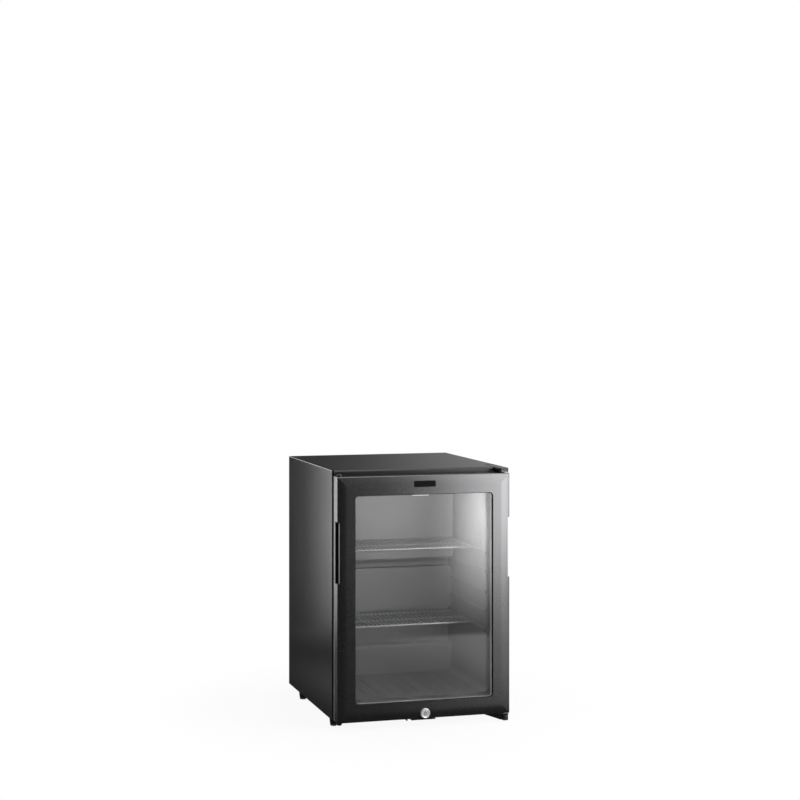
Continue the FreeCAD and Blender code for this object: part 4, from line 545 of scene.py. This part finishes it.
floor = sheet("Floor", level((-FLOOR_REACH, FLOOR_REACH), (-FLOOR_REACH, FLOOR_REACH), 0))
paper = bpy.data.materials.new("Pale floor")
paper.use_nodes = True
floor.data.materials.append(paper)
tree = paper.node_tree
matt = tree.nodes["Principled BSDF"]
matt.inputs["Base Color"].default_value = (0.85, 0.85, 0.85, 1)
matt.inputs["Roughness"].default_value = 0.9
matt.inputs["Specular IOR Level"].default_value = 0.0
white = add(tree, "ShaderNodeEmission", Color=WHITE, Strength=1.0)
place = add(tree, "ShaderNodeTexCoord")
reach = add(tree, "ShaderNodeVectorMath", operation="LENGTH")
feed(tree, reach, Vector=place.outputs["Object"])
fade = add(
    tree, "ShaderNodeMapRange", From_Min=VEIL_NEAR, From_Max=VEIL_FAR, To_Min=VEIL_AT_OBJECT, To_Max=1.0
)
feed(tree, fade, Value=reach.outputs["Value"])
veil = reckon(tree, "MULTIPLY", fade.outputs[0], seen_rays(tree))
blended(tree, veil, matt, white, "Material Output")
print("floor ready,", 2 * FLOOR_REACH, "m square")

# %% [markdown]
# ### Black flags
#
# Product photographers keep dark gloss dark with black flags: boards that only show up as
# reflections. These are clear to every ray that hasn't been mirrored yet and cast no shadow, so
# they never stand in the picture or behind the open door's glass.

# %% Black flags
FLAG_GLOW = 0.05
FLAG_LIFT = 0.004
FRONT_Y, REAR_Y, LEFT_X, RIGHT_X = -3.4, 3.2, -4.0, 4.0
FRONT_TOP, REAR_TOP = 3.0, 3.5
UNDER_CABINET = -0.16

FLAGS = {
    "Front flag": upright((-3.0, RIGHT_X), FRONT_Y, (0, FRONT_TOP)),
    "Front floor flag": level((-2.0, RIGHT_X), (FRONT_Y, UNDER_CABINET), FLAG_LIFT),
    "Rear flag": upright((LEFT_X, RIGHT_X), REAR_Y, (0, REAR_TOP)),
    "Left flag": sideways(LEFT_X, (FRONT_Y, REAR_Y), (0, REAR_TOP)),
    "Left floor flag": level((LEFT_X, UNDER_CABINET), (UNDER_CABINET, REAR_Y), FLAG_LIFT),
}

black = bpy.data.materials.new("Flag")
black.use_nodes = True
tree = black.node_tree
tree.nodes.remove(tree.nodes["Principled BSDF"])
path = add(tree, "ShaderNodeLightPath")
mirrored = reckon(tree, "GREATER_THAN", path.outputs["Glossy Depth"], 0.5)
clear = add(tree, "ShaderNodeBsdfTransparent")
dark = add(tree, "ShaderNodeEmission", Color=WHITE, Strength=FLAG_GLOW)
blended(tree, mirrored, clear, dark, "Material Output")
for name, corners in FLAGS.items():
    flag = sheet(name, corners)
    flag.data.materials.append(black)
    flag.visible_camera = flag.visible_diffuse = flag.visible_shadow = False
print("flags:", len(FLAGS))

# %% [markdown]
# ### Soft boxes
#
# An area lamp has hard borders, and satin paint and glass would mirror them as edges. So each soft
# box is a glowing sheet that fades to clear towards its rim. A UV map from 0 to 1 across the sheet
# drives four smooth ramps, one for each edge, and their product is the glow's share.

# %% Soft box maker
def soft_box(name, corners, strength, fade_across, fade_along):
    """A glowing sheet; each fade gives the shares over which the glow rises from its two edges."""
    box = sheet(name, corners)
    box.data.uv_layers.new(name="Place")
    for loop, uv in zip(box.data.uv_layers[0].data, [(0, 0), (1, 0), (1, 1), (0, 1)]):
        loop.uv = uv
    material = bpy.data.materials.new(name)
    material.use_nodes = True
    tree = material.node_tree
    tree.nodes.remove(tree.nodes["Principled BSDF"])
    parts = add(tree, "ShaderNodeSeparateXYZ")
    feed(tree, parts, Vector=add(tree, "ShaderNodeUVMap", uv_map="Place").outputs[0])
    share = None
    for axis, (low, high) in zip("XY", (fade_across, fade_along)):
        for start, end in ((0.0, low), (1.0, 1.0 - high)):
            ramp = add(tree, "ShaderNodeMapRange", interpolation_type="SMOOTHSTEP", From_Min=start)
            ramp.inputs["From Max"].default_value = end
            feed(tree, ramp, Value=parts.outputs[axis])
            rise = ramp.outputs[0]
            share = rise if share is None else reckon(tree, "MULTIPLY", share, rise)
    clear = add(tree, "ShaderNodeBsdfTransparent")
    glow = add(tree, "ShaderNodeEmission", Color=WHITE, Strength=strength)
    blended(tree, share, clear, glow, "Material Output")
    box.data.materials.append(material)
    box.visible_camera = box.visible_shadow = False
    return box


# %% [markdown]
# The key stands at the front right and makes the glare on the glass and the bezel, and a low sheet
# before it bounces light up the lower door. A box behind to the left makes the gradient on the side
# panel, a narrow strip draws the line along that panel's edge, and one behind to the right greys
# the lid.

# %% Soft boxes
KEY_Y, LEFT_BOX_Y, STRIP_Y, RIGHT_BOX_Y = -1.2, 1.0, 1.01, 2.5
BOUNCE_LIFT = 0.006

BOXES = {
    "Key, front right": (upright((0.32, 1.6), KEY_Y, (0, 1.4)), 7.1, (0.22, 0.2), (0.24, 0.2)),
    "Left, rear": (upright((-1.6, -0.465), LEFT_BOX_Y, (-0.25, 1.2)), 4.0, (0.3, 0.22), (0.41, 0.2)),
    "Edge strip, rear": (upright((-0.50, -0.22), STRIP_Y, (0.66, 1.0)), 3.0, (0.2, 0.2), (0.2, 0.2)),
    "Right, rear": (upright((0.4, 2.6), RIGHT_BOX_Y, (0.3, 1.8)), 1.0, (0.5, 0.2), (0.2, 0.2)),
    "Floor bounce": (level((0.1, 1.4), (KEY_Y, -0.26), BOUNCE_LIFT), 0.9, (0.3, 0.2), (0.01, 0.25)),
}
for name, (corners, strength, fade_across, fade_along) in BOXES.items():
    soft_box(name, corners, strength, fade_across, fade_along)
print("soft boxes:", len(BOXES))

# %% [markdown]
# The floor around a lit object throws some light back, which keeps the lower parts of the side and
# of the door from going black. These glows are weaker than the white floor, so they stay out of
# what is seen through glass.

# %% Floor glows
GLOW_LIFTS = (0.006, 0.007, 0.008)

GLOWS = {
    "Left floor glow": (level((-0.75, -0.21), (-0.2, 0.7), GLOW_LIFTS[0]), 0.22, (0.3, 0.3), (0.05, 0.7)),
    "Left far glow": (level((-1.2, -0.35), (0.45, 1.0), GLOW_LIFTS[1]), 0.28, (0.2, 0.30), (0.85, 0.01)),
    "Door foot glow": (level((-0.25, 0.75), (-0.60, -0.26), GLOW_LIFTS[2]), 0.45, (0.75, 0.1), (0.3, 0.3)),
}
for name, (corners, strength, fade_across, fade_along) in GLOWS.items():
    glow_sheet = soft_box(name, corners, strength, fade_across, fade_along)
    glow_sheet.visible_transmission = False
print("floor glows:", len(GLOWS))

# %% [markdown]
# ### Lamps
#
# Two area lamps do the rest. A large one overhead lifts the top and the floor. A small one behind
# the door's upper edge, hidden from camera, mirrors and glass, helps the lamp lens to light the
# compartment. It casts no shadows, for the even light that the photograph shows there.

# %% Lamps
def area_lamp(name, size, power, place, tilt=0.0):
    """A rectangular lamp that shines down, tilted towards the back by so many degrees."""
    data = bpy.data.lights.new(name, "AREA")
    data.shape = "RECTANGLE"
    data.size, data.size_y = size
    data.energy = power
    lamp = bpy.data.objects.new(name, data)
    lamp.location = place
    lamp.rotation_euler = (math.radians(tilt), 0, 0)
    bpy.context.scene.collection.objects.link(lamp)
    return lamp


area_lamp("Top", size=(2.0, 2.0), power=30.0, place=(1.1, -0.4, 2.4))
fill = area_lamp("Inside fill", size=(0.26, 0.10), power=0.34, place=(0.01, -0.152, 0.500), tilt=58)
fill.data.use_shadow = False
fill.visible_camera = fill.visible_glossy = fill.visible_transmission = False
print("lamps ready, inside fill", fill.data.energy, "W")

# %% [markdown]
# ## Camera
#
# The photograph has upright verticals, so the camera looks level and its lens is shifted instead
# of tilted. The place, the turn, the focal length and the picture's optical centre come from
# fitting the cabinet's corners to the picture, in pixels of its 800 x 800 frame.

# %% Camera
FRAME_PX = 800.0
FOCAL_PX = 1766.85
CENTRE_X, CENTRE_Y = 350.0, 310.73
EYE_PLACE = (-1.2136, -3.9472, 0.9220)
EYE_TURN = -15.616
LEVEL = 90.0

eye = bpy.data.cameras.new("Photo camera")
eye.sensor_width = 36.0
eye.lens = eye.sensor_width * FOCAL_PX / FRAME_PX
eye.shift_x = (FRAME_PX / 2 - CENTRE_X) / FRAME_PX
eye.shift_y = (CENTRE_Y - FRAME_PX / 2) / FRAME_PX
eye.clip_end = 100.0
camera = bpy.data.objects.new("Photo camera", eye)
camera.location = EYE_PLACE
camera.rotation_euler = (math.radians(LEVEL), 0.0, math.radians(EYE_TURN))
bpy.context.scene.collection.objects.link(camera)
bpy.context.scene.camera = camera
bpy.context.scene.view_settings.view_transform = "Standard"
print("lens:", round(eye.lens, 2), "mm")
